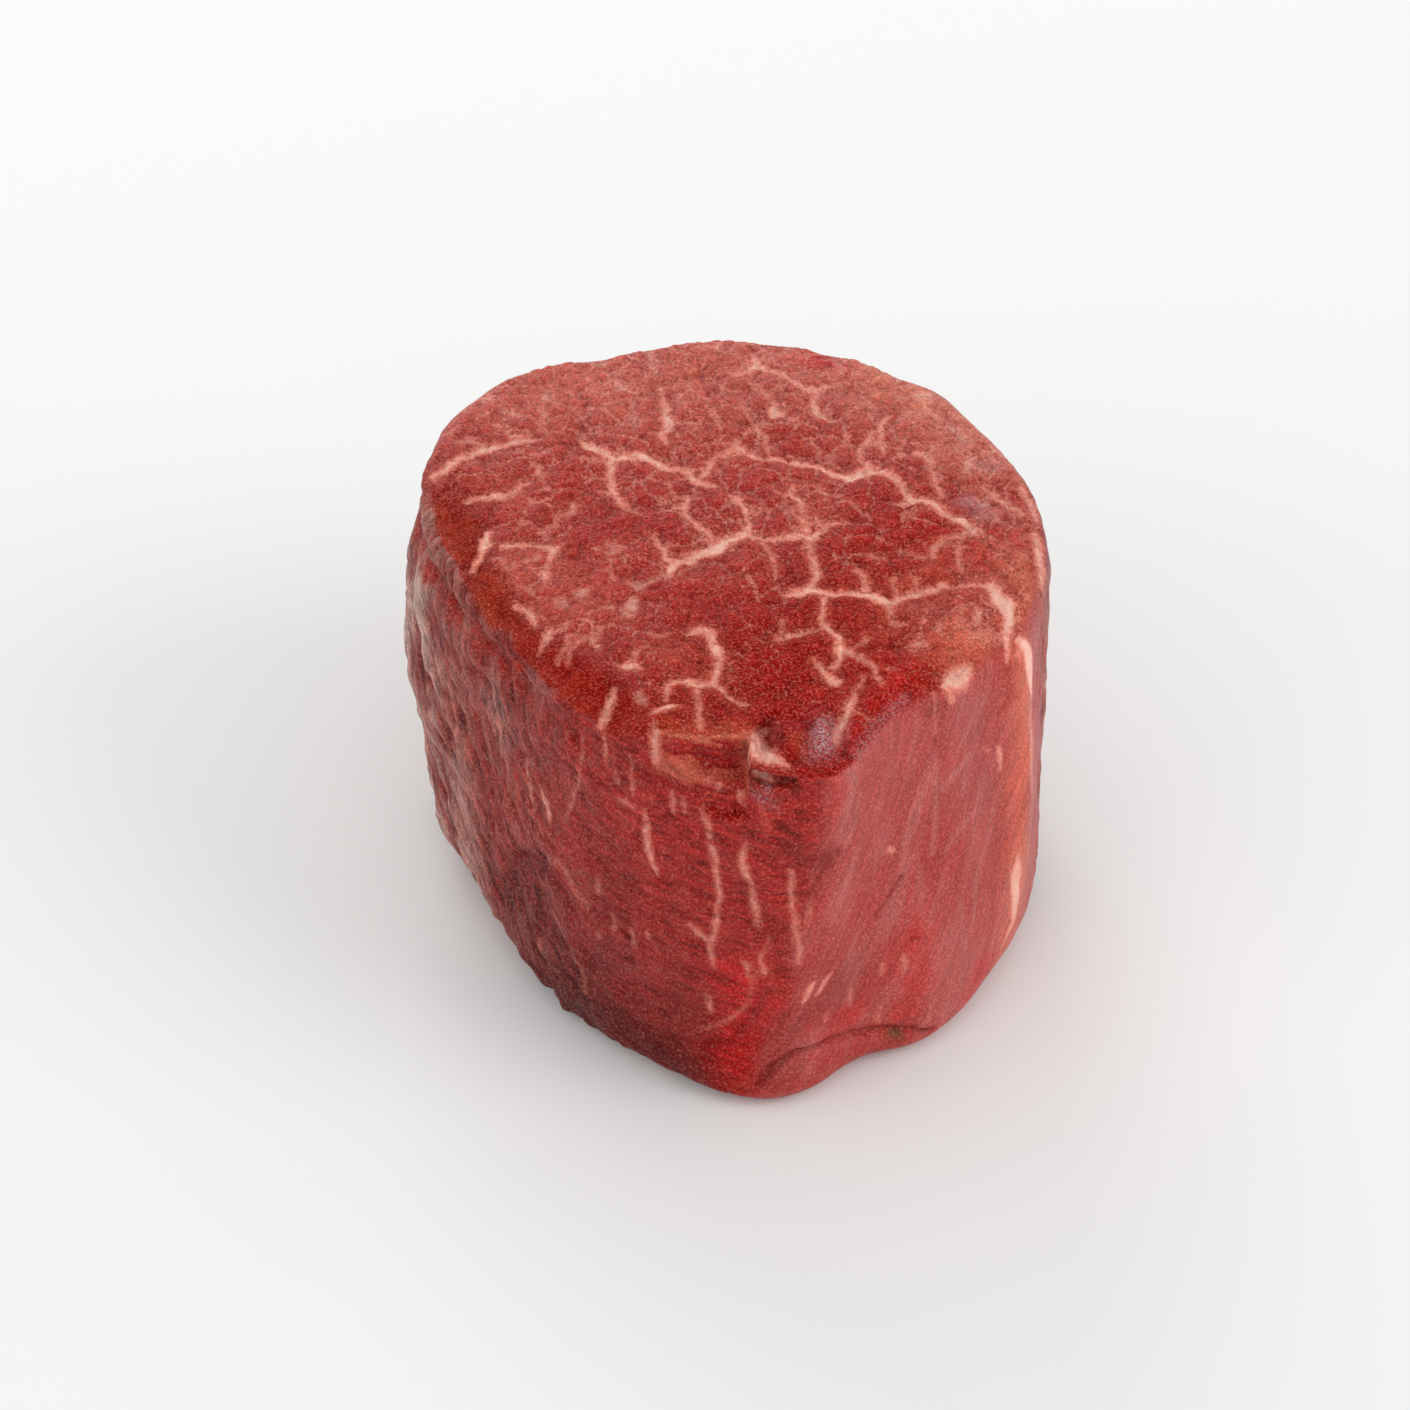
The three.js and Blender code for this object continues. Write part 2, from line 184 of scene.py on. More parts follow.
    (0.95, (27.6, -20.8, 0.9), (26.6, -22, 1.9), (25.6, -23.2, 1.9), (24.8, -24.2, 1.2)),
    (0.7, (34.9, 9.8, 0.7), (36.1, 7.1, 0.9), (36.4, 4, 0.6)),
    (0.8, (36.2, 1.4, 0.8), (36.3, -1.6, 1.1), (36.6, -4.3, 0.9), (36.3, -7.1, 0.4)),
    (0.6, (30.4, 9.4, 0.6), (30.9, 8.7, 0.7), (33, 6.5, 0.9), (34.9, 4.8, 0.6)),
    # The fork at the back with its right arm and its leg, and the fleck and thin veins near it.
    (0.7, (3.7, 34.9, 0.6), (3.8, 33.8, 1), (3.8, 32.9, 1.3), (3, 31.8, 0.7), (1.9, 31.2, 0.5),
     (0.6, 31.8, 0.4)),
    (0.75, (3.9, 32.8, 1.1), (6.3, 31.6, 0.7), (7.7, 30.7, 0.7), (8.8, 29.3, 0.6), (9.9, 28.3, 0.7),
     (11.3, 28.4, 0.8), (11.9, 29, 0.7), (13.6, 29.4, 0.5)),
    (0.7, (11.2, 28.2, 0.7), (10.6, 25.7, 0.6), (11.1, 24, 1.2), (11.3, 23.3, 1.3), (13.2, 22.5, 0.4)),
    (0.6, (3.7, 29.3, 0.3), (4.3, 28.2, 0.4), (5.5, 26.5, 0.5), (6, 25, 0.9)),
    (0.9, (6, 24.6, 1.4), (6.2, 24, 1.9), (5.9, 23.4, 1.2)),
    (0.6, (2.7, 23.7, 0.4), (3.6, 22.3, 0.5), (4, 20.9, 0.5), (4.7, 19.6, 0.5), (5.1, 17.9, 0.4),
     (5.2, 16.6, 0.4)),
    # The upright and the hooked vein at the back right, their link, and the long thin vein.
    (0.8, (17.3, 20.2, 0.3), (17, 18.4, 0.7), (16.1, 17.1, 0.6), (16.1, 15.7, 0.6), (16.5, 14.3, 0.6),
     (17, 13.2, 0.8)),
    (0.85, (19.7, 23.2, 0.4), (19.1, 22.4, 0.6), (18.5, 21.6, 0.7), (18.4, 18.6, 0.6), (18.7, 17, 0.5),
     (18.8, 16, 0.3)),
    (0.6, (17.1, 18.3, 0.6), (18.4, 17.8, 0.5)),
    (0.8, (20.8, 15.3, 0.4), (22.4, 15.7, 0.5), (23.8, 15.5, 0.8), (24.3, 14.3, 0.6), (24.5, 12.6, 0.5),
     (24.9, 9.6, 0.5), (25.4, 8, 0.4)),
    (0.6, (25.1, 18.3, 0.3), (24.8, 17, 0.5), (24.1, 15.8, 0.6)),
    # Soft places at the back left.
    (0.45, (-14.4, 32.3, 0.5), (-13.4, 30.2, 0.9), (-12.4, 28.3, 1.1), (-10.6, 27.4, 0.7), (-9.5, 26.4, 0.4)),
    (0.4, (-21.6, 27.8, 1.2), (-21.3, 26.2, 1.5)),
    (0.4, (-22, 24, 0.8), (-21.4, 22.8, 1)),
    (0.4, (-28.9, 26.8, 1), (-28.3, 26, 1.2)),
    (0.45, (-26.4, 23.9, 0.8), (-24.9, 23.4, 0.9)),
    (0.4, (-11.4, 22.9, 1.2), (-10.6, 22.2, 1.2)),
    # Soft places at the back right, the fat of the lump there, and soft places on the back rim.
    (0.6, (28, 19.8, 1.1), (28.6, 18.6, 1.3)),
    (0.6, (29.1, 14.6, 1.2), (28.8, 13.4, 1.4), (28.4, 12.4, 0.8)),
    (0.5, (26.6, 21.4, 0.9), (27.8, 20.4, 0.9)),
    (0.45, (31.6, 17.7, 0.9), (33, 16.4, 0.9)),
    (0.55, (23.4, 26.3, 0.8), (24.6, 24, 0.9), (26, 22.4, 0.7)),
    (0.55, (23.2, 27, 1.6), (24.6, 27.3, 2)),
    (0.4, (-0.9, 36.9, 1.2), (-0.6, 36, 0.9)),
    (0.5, (-15.8, 33.9, 1.4), (-14.9, 33.5, 1.2)),
    # The scrap of fat on the torn flap, its pale foot, and the shard over the cavity.
    (1, (-7.9, -29.8, 0.8), (-6.8, -29.2, 1), (-5.4, -28.9, 0.5)),
    (0.6, (-8, -31.6, 0.4), (-7.9, -33.4, 1.2), (-7.8, -35.4, 0.8)),
    (0.6, (4.4, -30.6, 0.2), (3.6, -32, 0.7), (3.2, -33.4, 1.6)),
    (0.7, (3.5, -33.4, 1.6), (4.3, -35, 2.4)),
    (0.85, (2.4, -34.4, 1), (3.4, -35.6, 1.8), (4.8, -36.4, 1.6), (6.6, -37.2, 0.4)),
)

# Fat on the side: how white it is, and then its path of (bearing, height, width).
SIDE_FAT = (
    # Streaks and a fleck at the left.
    (0.35, (194, 34, 0.4), (196, 30, 0.8), (198, 26, 0.5)),
    (0.55, (209.5, 39.5, 0.2), (212, 37.2, 0.6), (213.6, 35, 0.7), (214.1, 32.5, 0.2)),
    (0.45, (224.6, 36.4, 0.2), (225.4, 34, 0.7), (226.2, 31.5, 0.7), (227, 28.8, 0.2)),
    (0.3, (218, 33, 0.4), (219, 27, 0.5)),
    (0.6, (229.6, 34.4, 0.4), (231.4, 32.8, 1.3), (232.2, 31.4, 0.9), (232.6, 30, 0.3)),
    # The tall streak at the left front, and streaks and flecks under the rim.
    (0.45, (239.4, 45.4, 0.2), (240.8, 42.4, 0.4), (240.3, 40, 0.3), (239.6, 38, 0.4)),
    (0.4, (239.6, 38, 0.4), (238.7, 35.5, 0.5), (237.4, 33, 0.2)),
    (0.6, (245.5, 48.5, 0.4), (246, 46, 0.7), (246.3, 43.5, 0.3)),
    (0.45, (252.1, 46.8, 0.2), (252.7, 44.4, 0.5), (252.9, 42.1, 0.3)),
    (0.45, (248.7, 43.4, 0.5), (249.6, 42.1, 0.7)),
    (0.45, (250.2, 40.3, 0.5), (251.6, 40.4, 0.9), (253.3, 40, 0.4)),
    # Short streaks at the front, high up.
    (0.75, (260.5, 44, 0.2), (260.7, 42.6, 0.5), (260.6, 41, 0.3)),
    (0.6, (262.2, 43.5, 0.2), (262.4, 42.4, 0.5), (262.4, 41.4, 0.2)),
    (0.65, (266.3, 46.4, 0.3), (266.6, 45.2, 0.5)),
    (0.65, (268.4, 45.8, 0.4), (268.6, 44.8, 0.7)),
    (0.75, (272.5, 45.6, 0.4), (272.6, 44.4, 0.7), (272.5, 43.2, 0.3)),
    # Long streaks at the front.
    (0.7, (266, 42.4, 0.2), (267, 40, 0.5), (267.7, 37, 0.6), (268.5, 34, 0.6), (269, 30.5, 0.5)),
    (0.7, (269, 30.5, 0.5), (268.2, 26, 0.5), (267.3, 23.5, 0.5), (268.2, 20.2, 0.2)),
    (0.7, (264, 25.8, 0.3), (265.4, 24.8, 1), (266.8, 24, 0.4)),
    (0.75, (273.2, 39.3, 0.2), (272.6, 37, 0.7), (273, 35.2, 0.8), (274, 33, 0.4), (274.8, 30.5, 0.7),
     (275.1, 27.6, 0.3)),
    (0.65, (280, 36.2, 0.2), (280.2, 33.5, 0.5), (280.4, 31, 0.3), (281, 27, 0.4), (281.3, 24.5, 0.5),
     (281, 22.3, 0.2)),
    (0.5, (283.3, 31.4, 0.3), (283.2, 30, 0.4), (282.6, 28.3, 0.2)),
    (0.75, (255.4, 40.4, 0.3), (255.4, 38.4, 0.6), (255.7, 36.4, 0.8), (256.3, 34.2, 0.8),
     (257.9, 31.3, 0.3)),
    # Short streaks over the red lump, one low at the front, and the line round the lump.
    (0.75, (275.4, 23.6, 0.3), (275.9, 20.8, 0.5)),
    (0.5, (273.3, 22.3, 0.8), (273.8, 20.2, 0.4)),
    (0.6, (267.2, 16.2, 0.3), (267.4, 13.9, 0.4)),
    (0.3, (277, 26, 0.3), (274.5, 19.5, 0.4), (273, 15.4, 0.4), (270, 12.6, 0.4), (266.5, 11, 0.3)),
    # Flecks low at the left, and strands down from the arch.
    (0.45, (245.6, 27.3, 0.3), (245.7, 26, 0.8), (245.7, 24.6, 0.3)),
    (0.35, (245.5, 18.6, 0.4), (245.7, 17.9, 0.4)),
    (0.4, (248.6, 22.4, 0.4), (249.2, 20.6, 0.6)),
    (0.45, (253.1, 21.8, 0.3), (253.6, 19.6, 0.5)),
    (0.7, (256.1, 22.4, 0.4), (256.5, 21.6, 0.6)),
    (0.4, (230.2, 11, 0.5), (230.2, 9.4, 0.6)),
    (0.3, (234.6, 25.6, 0.4), (237.6, 24.4, 0.7), (240.2, 22.8, 0.8), (242.9, 21.5, 0.8)),
    (0.25, (233.8, 16.3, 0.4), (237.7, 13.8, 0.6), (241.1, 10.6, 0.6), (242.6, 7.4, 0.4)),
    # The fork at the front, and short streaks right of it.
    (0.95, (284, 19, 0.3), (282.8, 18, 0.8), (282, 16.8, 0.3)),
    (0.8, (287, 18.9, 0.3), (285.6, 18.2, 0.5), (284.5, 16.8, 0.4)),
    (0.5, (297.3, 15.9, 0.3), (297.4, 15, 0.4), (297.2, 14.2, 0.2)),
    (0.4, (301, 16.4, 0.5), (301.4, 15.2, 0.8), (301.2, 13.8, 0.4)),
    (0.5, (297.2, 8.8, 0.3), (296.7, 6.4, 0.4)),
    (0.45, (291.1, 14.2, 0.3), (291.1, 12.6, 0.4), (291.2, 11.2, 0.2)),
    (0.55, (286, 12.5, 0.4), (286.2, 11.6, 0.5)),
    # The edge of the smooth face, a crumb, flecks by the right edge, a streak from the rim patch.
    (0.6, (283.4, 31.6, 0.2), (283.1, 30.4, 0.4), (283.3, 29.2, 0.2)),
    (0.6, (299.5, 32, 0.7), (300.1, 31.5, 0.9)),
    (0.8, (328.6, 35.4, 0.5), (328.8, 33.8, 0.9), (328.6, 32.3, 0.5)),
    (0.5, (325.4, 36.4, 0.3), (326.6, 35.8, 0.4)),
    (0.45, (312.6, 49.2, 0.5), (312.1, 46, 0.4), (312, 43.8, 0.2)),
    # Fat down the right edge: its top, its middle, and the patch low on it.
    (1, (335, 49, 0.8), (336.6, 47, 1.8), (337.6, 44.6, 2.3), (338.4, 41.6, 2.1), (339.6, 38, 0.6)),
    (0.45, (338.5, 38, 0.8), (337.5, 31, 1.4), (337.5, 24, 0.8)),
    (0.8, (331.8, 17.4, 0.6), (330.8, 14.4, 2.2), (330.3, 11.4, 2.1), (329.2, 8, 1), (326.4, 6, 0.5)),
    # The fold of fat at the back right, and streaks round the back.
    (0.7, (50, 47, 1.6), (47, 38, 1.2), (46, 27, 1.8), (43, 15, 0.8)),
    (0.7, (12, 44, 0.8), (10, 34, 1.6), (13, 22, 1.1), (9, 12, 0.6)),
    (0.6, (78, 40, 0.6), (76, 31, 1.3), (79, 20, 0.7)),
    (0.65, (103, 45, 0.7), (99, 34, 1.1), (98, 23, 1.6), (104, 11, 0.7)),
    (0.6, (131, 38, 0.6), (128, 30, 1.2), (130, 20, 0.6)),
    (0.55, (148, 44, 0.5), (150, 33, 1), (146, 22, 0.6)),
    (0.6, (352, 40, 0.6), (355, 30, 1.2), (352, 18, 0.6)),
)

# Silver skin drawn into strands, as fat above. It stands a little proud of the lean.
STRANDS = (
    # The veil across the left, and its fall to the right.
    (0.85, (184, 25, 1.4), (189.6, 24.4, 1.6), (200.8, 23.9, 2), (213.3, 23.7, 2.6), (222, 25.4, 3),
     (228.5, 26.4, 2.6), (233, 25.4, 1.6)),
    (0.7, (233, 25.6, 1.4), (237.7, 24.2, 1.1), (240.5, 22.4, 1), (243, 21.4, 0.5)),
    # Strands inside the arch, below the pit and under the groove.
    (0.6, (220.5, 15, 0.6), (226, 18.6, 0.9), (231, 19.8, 1), (236, 18, 0.6)),
    (0.6, (224, 15, 0.5), (229, 14, 0.7), (233.8, 16.3, 0.8), (237.7, 13.8, 0.7), (241.1, 10.6, 0.6),
     (243, 6, 0.4)),
    (0.4, (192, 45, 0.5), (200, 44, 0.8), (210, 43.9, 0.6), (222, 44.2, 0.4)),
    # Long strands and low veils at the left.
    (0.7, (184, 43, 0.8), (195, 38, 1.1), (206, 33.5, 1.1), (215, 28.6, 1), (222, 26, 0.8)),
    (0.6, (199, 42.5, 0.7), (208, 38.5, 0.9), (216, 33, 0.8), (223, 29, 0.6)),
    (0.5, (212, 42.2, 0.5), (219, 38.5, 0.7), (226, 35.5, 0.6), (232, 34.5, 0.4)),
    (0.75, (184, 20, 1.4), (195, 15.5, 2), (204, 10.5, 2.2), (210, 5.5, 1.6)),
    (0.35, (195, 21.4, 0.7), (206, 17.5, 1), (211, 14.5, 0.9), (214.5, 9, 0.7)),
)

# Creases, pits and gaps between strands: half width, depth, and then a path of (bearing, height).
CREASES = (
    # Gaps, pits and a slit at the left.
    (0.8, 0.6, (166, 46.2), (180, 45.6), (200, 45.2), (222, 45.6), (238, 46.8)),
    (0.7, 0.7, (201, 45), (205, 44.6), (209, 45.1)),
    (0.6, 0.6, (202, 40.9), (205, 40.4), (208, 39.8)),
    (0.5, 0.5, (190, 41), (194, 40), (198, 39.2)),
    (0.5, 0.5, (213.5, 36.4), (217, 35.6), (221, 36), (225, 36.7)),
    (0.45, 0.4, (202, 19.6), (205.2, 17), (208, 15.6)),
    (0.45, 0.4, (194, 21.6), (197.7, 20.4), (203, 18.8)),
    (0.45, 0.4, (210, 18.6), (215.7, 18.4), (218, 17.6)),
    (0.5, 0.5, (190, 36), (192, 33), (193, 30.5)),
    # The arched pit: its left leg, crown and right leg, and the crease inside it.
    (0.55, 0.5, (217, 11), (218.2, 13.5), (219.2, 15.4), (219.6, 17.7)),
    (0.8, 0.5, (220.6, 19.4), (223.6, 21), (226.6, 22.2), (230.6, 23)),
    (0.6, 0.55, (230.6, 23), (233.4, 22), (237, 21), (239.5, 18.6)),
    (0.45, 0.4, (225, 16), (227.6, 15.2), (230.5, 14.6), (231.6, 12.4)),
    # The crevice in the left foot.
    (0.6, 0.9, (228.2, 4), (229.6, 4.2), (231.3, 4.5), (232, 3.2)),
    # Wrinkles under the torn step and at the front.
    (0.35, 0.35, (250, 45.9), (256, 45.2), (263, 44.7), (271, 44.2)),
    (0.3, 0.28, (246, 43.6), (254, 43.3), (260, 42.4), (268, 42.2)),
    (0.35, 0.3, (238, 39), (246, 38.4), (252, 38.9), (256, 38)),
    (0.35, 0.32, (236, 34.2), (244, 33.6), (252, 32.2), (257, 31.2)),
    (0.35, 0.32, (258, 35.8), (264, 35.4), (267, 34.8), (272, 35)),
    (0.35, 0.34, (258, 30.4), (264, 30.6), (269, 29.8), (273, 30.4)),
    (0.35, 0.3, (246, 28.6), (252, 28), (258, 27), (264, 26.6)),
    (0.35, 0.3, (256, 24.6), (262, 23.8), (268, 23.2), (273, 23.6)),
    (0.35, 0.3, (244, 22), (250, 20.6), (257, 19.8), (262, 18.2)),
    (0.35, 0.3, (262, 20), (268, 18.6), (272, 18.8)),
    (0.35, 0.28, (250, 25.6), (256, 24.8), (260, 24.6)),
    (0.3, 0.25, (262, 39.6), (268, 39.4), (276, 38.4)),
    (0.3, 0.25, (262, 33), (267, 32.6), (274, 33.2)),
    # The gap left of the smooth face, and the seam beside the red lump.
    (0.6, 0.35, (287.5, 37.4), (284.2, 34), (282, 29)),
    (0.6, 0.4, (276.5, 18), (274, 13.5), (271, 10), (267, 8.6)),
    # The crease over the lip: its left, middle and right.
    (0.6, 0.7, (275.4, 4), (277.4, 6.6), (281, 8.4)),
    (0.4, 0.55, (280, 8.6), (284, 8.2), (288.3, 7.4), (291.5, 6.4)),
    (0.4, 0.65, (291, 6.6), (294.5, 5.7), (298.7, 5.4), (302.5, 4.2), (306.5, 2.8)),
    # Down the right front: a crease, a notch, and the dark line from the rim.
    (0.35, 0.45, (302.1, 27.3), (300.2, 26), (298.7, 24.8), (296.3, 23.3)),
    (0.4, 0.45, (303, 18.2), (304, 17.4)),
    (0.7, 0.2, (312.8, 48.6), (312.3, 44.6), (311.7, 40.9)),
    # Seams round the back and at the right.
    (0.9, 0.6, (104, 48), (99, 26), (106, 6)),
    (0.8, 0.5, (38, 45), (34, 25), (37, 6)),
    (0.7, 0.5, (153, 44), (158, 25), (150, 8)),
    (0.7, 0.4, (2, 44), (358, 24), (3, 8)),
)

# Places where the solid's own hollows are deeper than the fine creases here: half width, height, path.
FILLS = (
    (1.6, 0.8, (275, 6), (279, 8.6), (289, 8.8), (306, 5.6)),  # the crease over the lip
    (1.6, 0.5, (303, 29), (296, 23)),  # the crease down the right front
    (1.9, 0.6, (219, 13), (224, 19), (231, 17)),  # the arched pit
    (1.5, 1, (236, 1), (238, 5)),  # the crevice in the left foot
    (2.4, 0.3, (287, 38), (277, 24), (272, 9)),  # the seam between the front muscles
)

# Faint lines in the film over the smooth right side, as fat above.
FILM_LINES = (
    (0.8, (321.2, 37, 0.3), (316, 36.5, 0.6), (312.8, 36.1, 0.3)),
    (0.6, (320.1, 29.2, 0.3), (314.3, 28.5, 0.5), (312, 27.2, 0.3)),
    (0.55, (326, 24, 0.3), (319.5, 20.5, 0.5), (317.1, 13.6, 0.3)),
    (0.45, (305.8, 27.3, 0.3), (305.3, 19.4, 0.4)),
    (0.6, (304.6, 29.4, 0.3), (302.6, 27.4, 0.5), (299.6, 24.2, 0.3)),
    (0.6, (311.7, 40.9, 0.3), (310.8, 33, 0.5), (309, 28.3, 0.4)),
    (0.45, (314.5, 18.9, 0.3), (314.6, 11.3, 0.6), (313.7, 7, 0.3)),
    (0.5, (325.8, 43.5, 0.4), (323.4, 41.4, 0.7), (318.4, 39.8, 0.3)),
    (0.45, (332.1, 22, 0.3), (330.2, 15.9, 0.5), (326.1, 12.5, 0.3)),
)

# Tints of the side: colour name, strength, spread in mm, and then a path of (bearing, height).
TINTS = (
    ("vivid", 0.85, 2.6, (272, 20), (273, 12), (270, 7)),  # the red lump low at the front
    ("vivid", 0.55, 1.6, (286, 12), (292, 10)),  # beside the crease over the lip
    ("vivid", 0.6, 2.6, (304, 18), (304, 11)),
    ("salmon_pale", 0.5, 3, (311, 14), (310, 5)),
    ("flesh", 0.65, 3, (333, 16), (331, 9), (328, 4)),  # low on the right edge
    ("deep", 0.5, 3, (290, 15), (285, 14)),
    ("deep", 0.45, 2.4, (279, 13), (277, 6)),  # the left foot of the lip
    ("scarlet", 0.45, 2, (256, 44), (262, 42.4)),  # under the torn flap
    # Painted shade: dark low at the left where the side curves in under itself, and in the arched pit.
    ("plum", 0.75, 4, (232, 3), (242, 5), (252, 5), (262, 4)),  # dark low left
    ("plum", 0.65, 1.6, (218, 11), (219.4, 16.4), (223.6, 21), (230.6, 22.6), (237.5, 20.6)),  # the arch
    ("plum", 0.3, 4, (224, 14), (232, 11), (238, 13)),
    ("deep", 0.65, 1.8, (286.5, 36.6), (283, 37), (281, 39)),  # the triangle beside the smooth face
    ("deep", 0.3, 5, (256, 28), (264, 26), (262, 14)),
    ("deep", 0.65, 5, (241, 13), (248, 17), (246, 24)),
    ("deep", 0.45, 4, (236, 38), (244, 33)),
    ("mauve", 0.15, 2.6, (222, 40), (232, 40), (240, 38.5)),
    ("amber", 0.75, 2.4, (334, 45), (335.5, 38), (335, 30)),  # the right edge
    ("amber", 0.5, 2, (333, 28), (333, 18)),
    ("scarlet", 0.6, 1.4, (331, 46), (332, 42)),
    ("olive", 1, 0.75, (299.4, 4.5), (300.2, 3.9)),  # the spot on the lip
    # painted shade under the rim patch
    ("plum", 0.45, 1, (311, 47.6), (313, 47.2)),  # under the rim patch
    ("mauve", 0.18, 2.6, (320, 45), (324, 40), (324, 30)),
    ("scarlet", 0.3, 2.2, (278, 3), (290, 3.4), (302, 2.8)),  # the lip
    ("vivid", 0.5, 2.2, (317, 6), (321, 6)),
    ("silver_pale", 0.4, 2.4, (209, 40), (215, 36)),
    ("silver_pale", 0.25, 3, (198, 22), (202, 12)),
    ("silver_pale", 0.3, 1.6, (220, 46), (228, 46)),
    # painted shade under the left rim
    ("gap", 0.35, 1.4, (196, 46.4), (204, 46)),  # under the left rim
    # painted shade under the torn rim
    ("deep", 0.4, 1.8, (245, 46.4), (259, 46)),  # under the torn rim
)

# Tints of the upper face, on paths of (x, y).
FACE_TINTS = (
    ("ember", 0.6, 1.3, (-28.9, 1.2), (-29.3, -1)),  # inside the left rim
    ("ember", 0.65, 1.4, (-24.6, -11.4), (-22.2, -15.2)),
    ("scarlet", 0.5, 2.2, (-18.5, -19.5), (-14, -24), (-11, -28)),  # the left front
    ("ember", 0.85, 1.3, (-7.4, -31.6), (-5.8, -32.2)),  # the torn flap, and its pale top
    ("face_pale", 0.6, 1.2, (-4.4, -32.4), (-1.4, -32.2), (1.8, -31.6)),
    ("face_pale", 0.35, 2.8, (-27.5, 13), (-24, 6)),
    ("ember", 0.5, 1, (-5.6, -32.2), (-1.5, -31.8), (2, -31.6)),  # behind the ledge
    ("scarlet", 0.9, 2.2, (6.4, -32), (7.4, -34.8)),  # the torn lobe
    ("deep", 0.8, 1.1, (5.4, -31.2), (5.8, -33.8)),
    ("ember", 0.8, 0.9, (7.7, -33.2), (8.4, -35.4)),
    ("vivid", 0.55, 1.8, (12.8, -33.6), (16.4, -29.2), (19.6, -24.2)),  # red places at the right
    ("vivid", 0.3, 2.6, (17, -21.5), (22, -20)),
    ("vivid", 0.45, 1.7, (28.5, -3), (30, -4.6)),
    ("vivid", 0.1, 2.4, (20.5, 3), (24, 0.8)),
    ("vivid", 0.85, 1.4, (10.6, 34), (14, 32.9)),
    ("vivid", 0.75, 1.1, (33.6, 8.2), (35, 7.2)),
    ("vivid", 0.55, 1.3, (31.5, 1), (34, -1)),
    ("face_pale", 0.5, 5.5, (25, -8), (21, -14)),  # pale places at the right and the back
    ("flesh", 0.6, 3, (20, 30), (25, 26), (29, 20)),
    ("flesh", 0.2, 4, (-6, 31), (-1, 32)),
    ("amber", 0.8, 2.4, (25.5, -16.5), (28, -18.5), (26, -20.5)),  # inside the right rim
    ("amber", 0.75, 1.8, (34, -6), (34.6, -11), (31, -15.5)),
    ("amber", 0.6, 1.2, (35.6, -20), (35.2, -25)),
    # paler at the left, partly painted sheen
    ("face_pale", 0.5, 4.6, (-22, -5), (-17, -11)),
    ("face_pale", 0.35, 3.4, (-6, -20), (-2, -23)),  # behind the torn corner
    # painted sheen at the wet spots
    ("mauve", 0.25, 2, (29, 6.2), (31, 3.6)),
    ("mauve", 0.25, 1.8, (21.5, -12), (23.5, -13.4)),
)

# Painted wet highlights where wet places glisten, on paths of (x, y) and of (bearing, height): strength,
# spread in mm, path.
FACE_GLINTS = (
    (0.9, 1.7, (11, -31.6), (10.6, -34.6)),  # the wet corner
    (0.4, 0.7, (14.3, -35.2), (17.4, -30.6), (20.2, -26.8)),  # along the edge of the smooth side
    (0.45, 1.3, (31.6, 13), (30.6, 13.4)),
    (0.6, 1.3, (29.8, 6), (28.6, 6.4)),
    (0.4, 1, (30.9, 3.6), (30.1, 3.8)),
)
SIDE_GLINTS = (
    (0.9, 0.6, (276.4, 47.6), (276.8, 46.4)),  # in the cavity
    (0.35, 0.7, (275, 45), (277.6, 44.8)),  # under it
)

# Colours of the lean under soft white light (linear red, green, blue).
COLOURS = {
    "face": (0.410, 0.011, 0.004),
    "face_pale": (0.610, 0.095, 0.058),
    "face_deep": (0.360, 0.004, 0.002),
    "vivid": (0.540, 0.005, 0.005),
    "flesh": (0.680, 0.170, 0.100),
    "side": (0.385, 0.012, 0.009),
    "stringy": (0.245, 0.011, 0.008),
    "silver": (0.265, 0.074, 0.060),
    "silver_pale": (0.440, 0.270, 0.235),
    "gap": (0.130, 0.008, 0.006),
    "salmon": (0.445, 0.050, 0.042),
    "salmon_pale": (0.500, 0.125, 0.112),
    "salmon_deep": (0.410, 0.024, 0.020),
    "back": (0.300, 0.030, 0.024),
    "scarlet": (0.350, 0.004, 0.004),
    "deep": (0.220, 0.006, 0.005),
    "plum": (0.140, 0.010, 0.011),
    "rust": (0.235, 0.008, 0.002),
    "ember": (0.420, 0.026, 0.005),
    "coral": (0.600, 0.100, 0.055),
    "amber": (0.720, 0.130, 0.070),
    "olive": (0.100, 0.045, 0.004),
    "mauve": (0.330, 0.110, 0.110),
    # the colour of the painted wet highlights
    "painted_glint": (0.560, 0.380, 0.420),
    # pale specks of the wet grain, partly pink tissue and partly painted highlights
    "specks_and_glints": (0.760, 0.350, 0.280),
}
FAT_COLOUR = (0.86, 0.280, 0.205, 1.0)
FAT_BRIGHT = (0.97, 0.600, 0.480, 1.0)

# How much the fibres lighten and darken each stretch, and how much it shines.
CONTRAST = {"face": 0.18, "left": 0.60, "front": 0.24, "smooth": 0.15, "back": 0.35}
GLOSS = {"face": 0.30, "left": 0.28, "front": 0.30, "smooth": 0.30, "back": 0.32}
# Painted light and shade from the relief: raised places are painted lighter and hollows darker.
RELIEF_SHADING = np.array((0.50, 1.00, 1.00))  # how much each of red, green and blue lightens per mm of relief


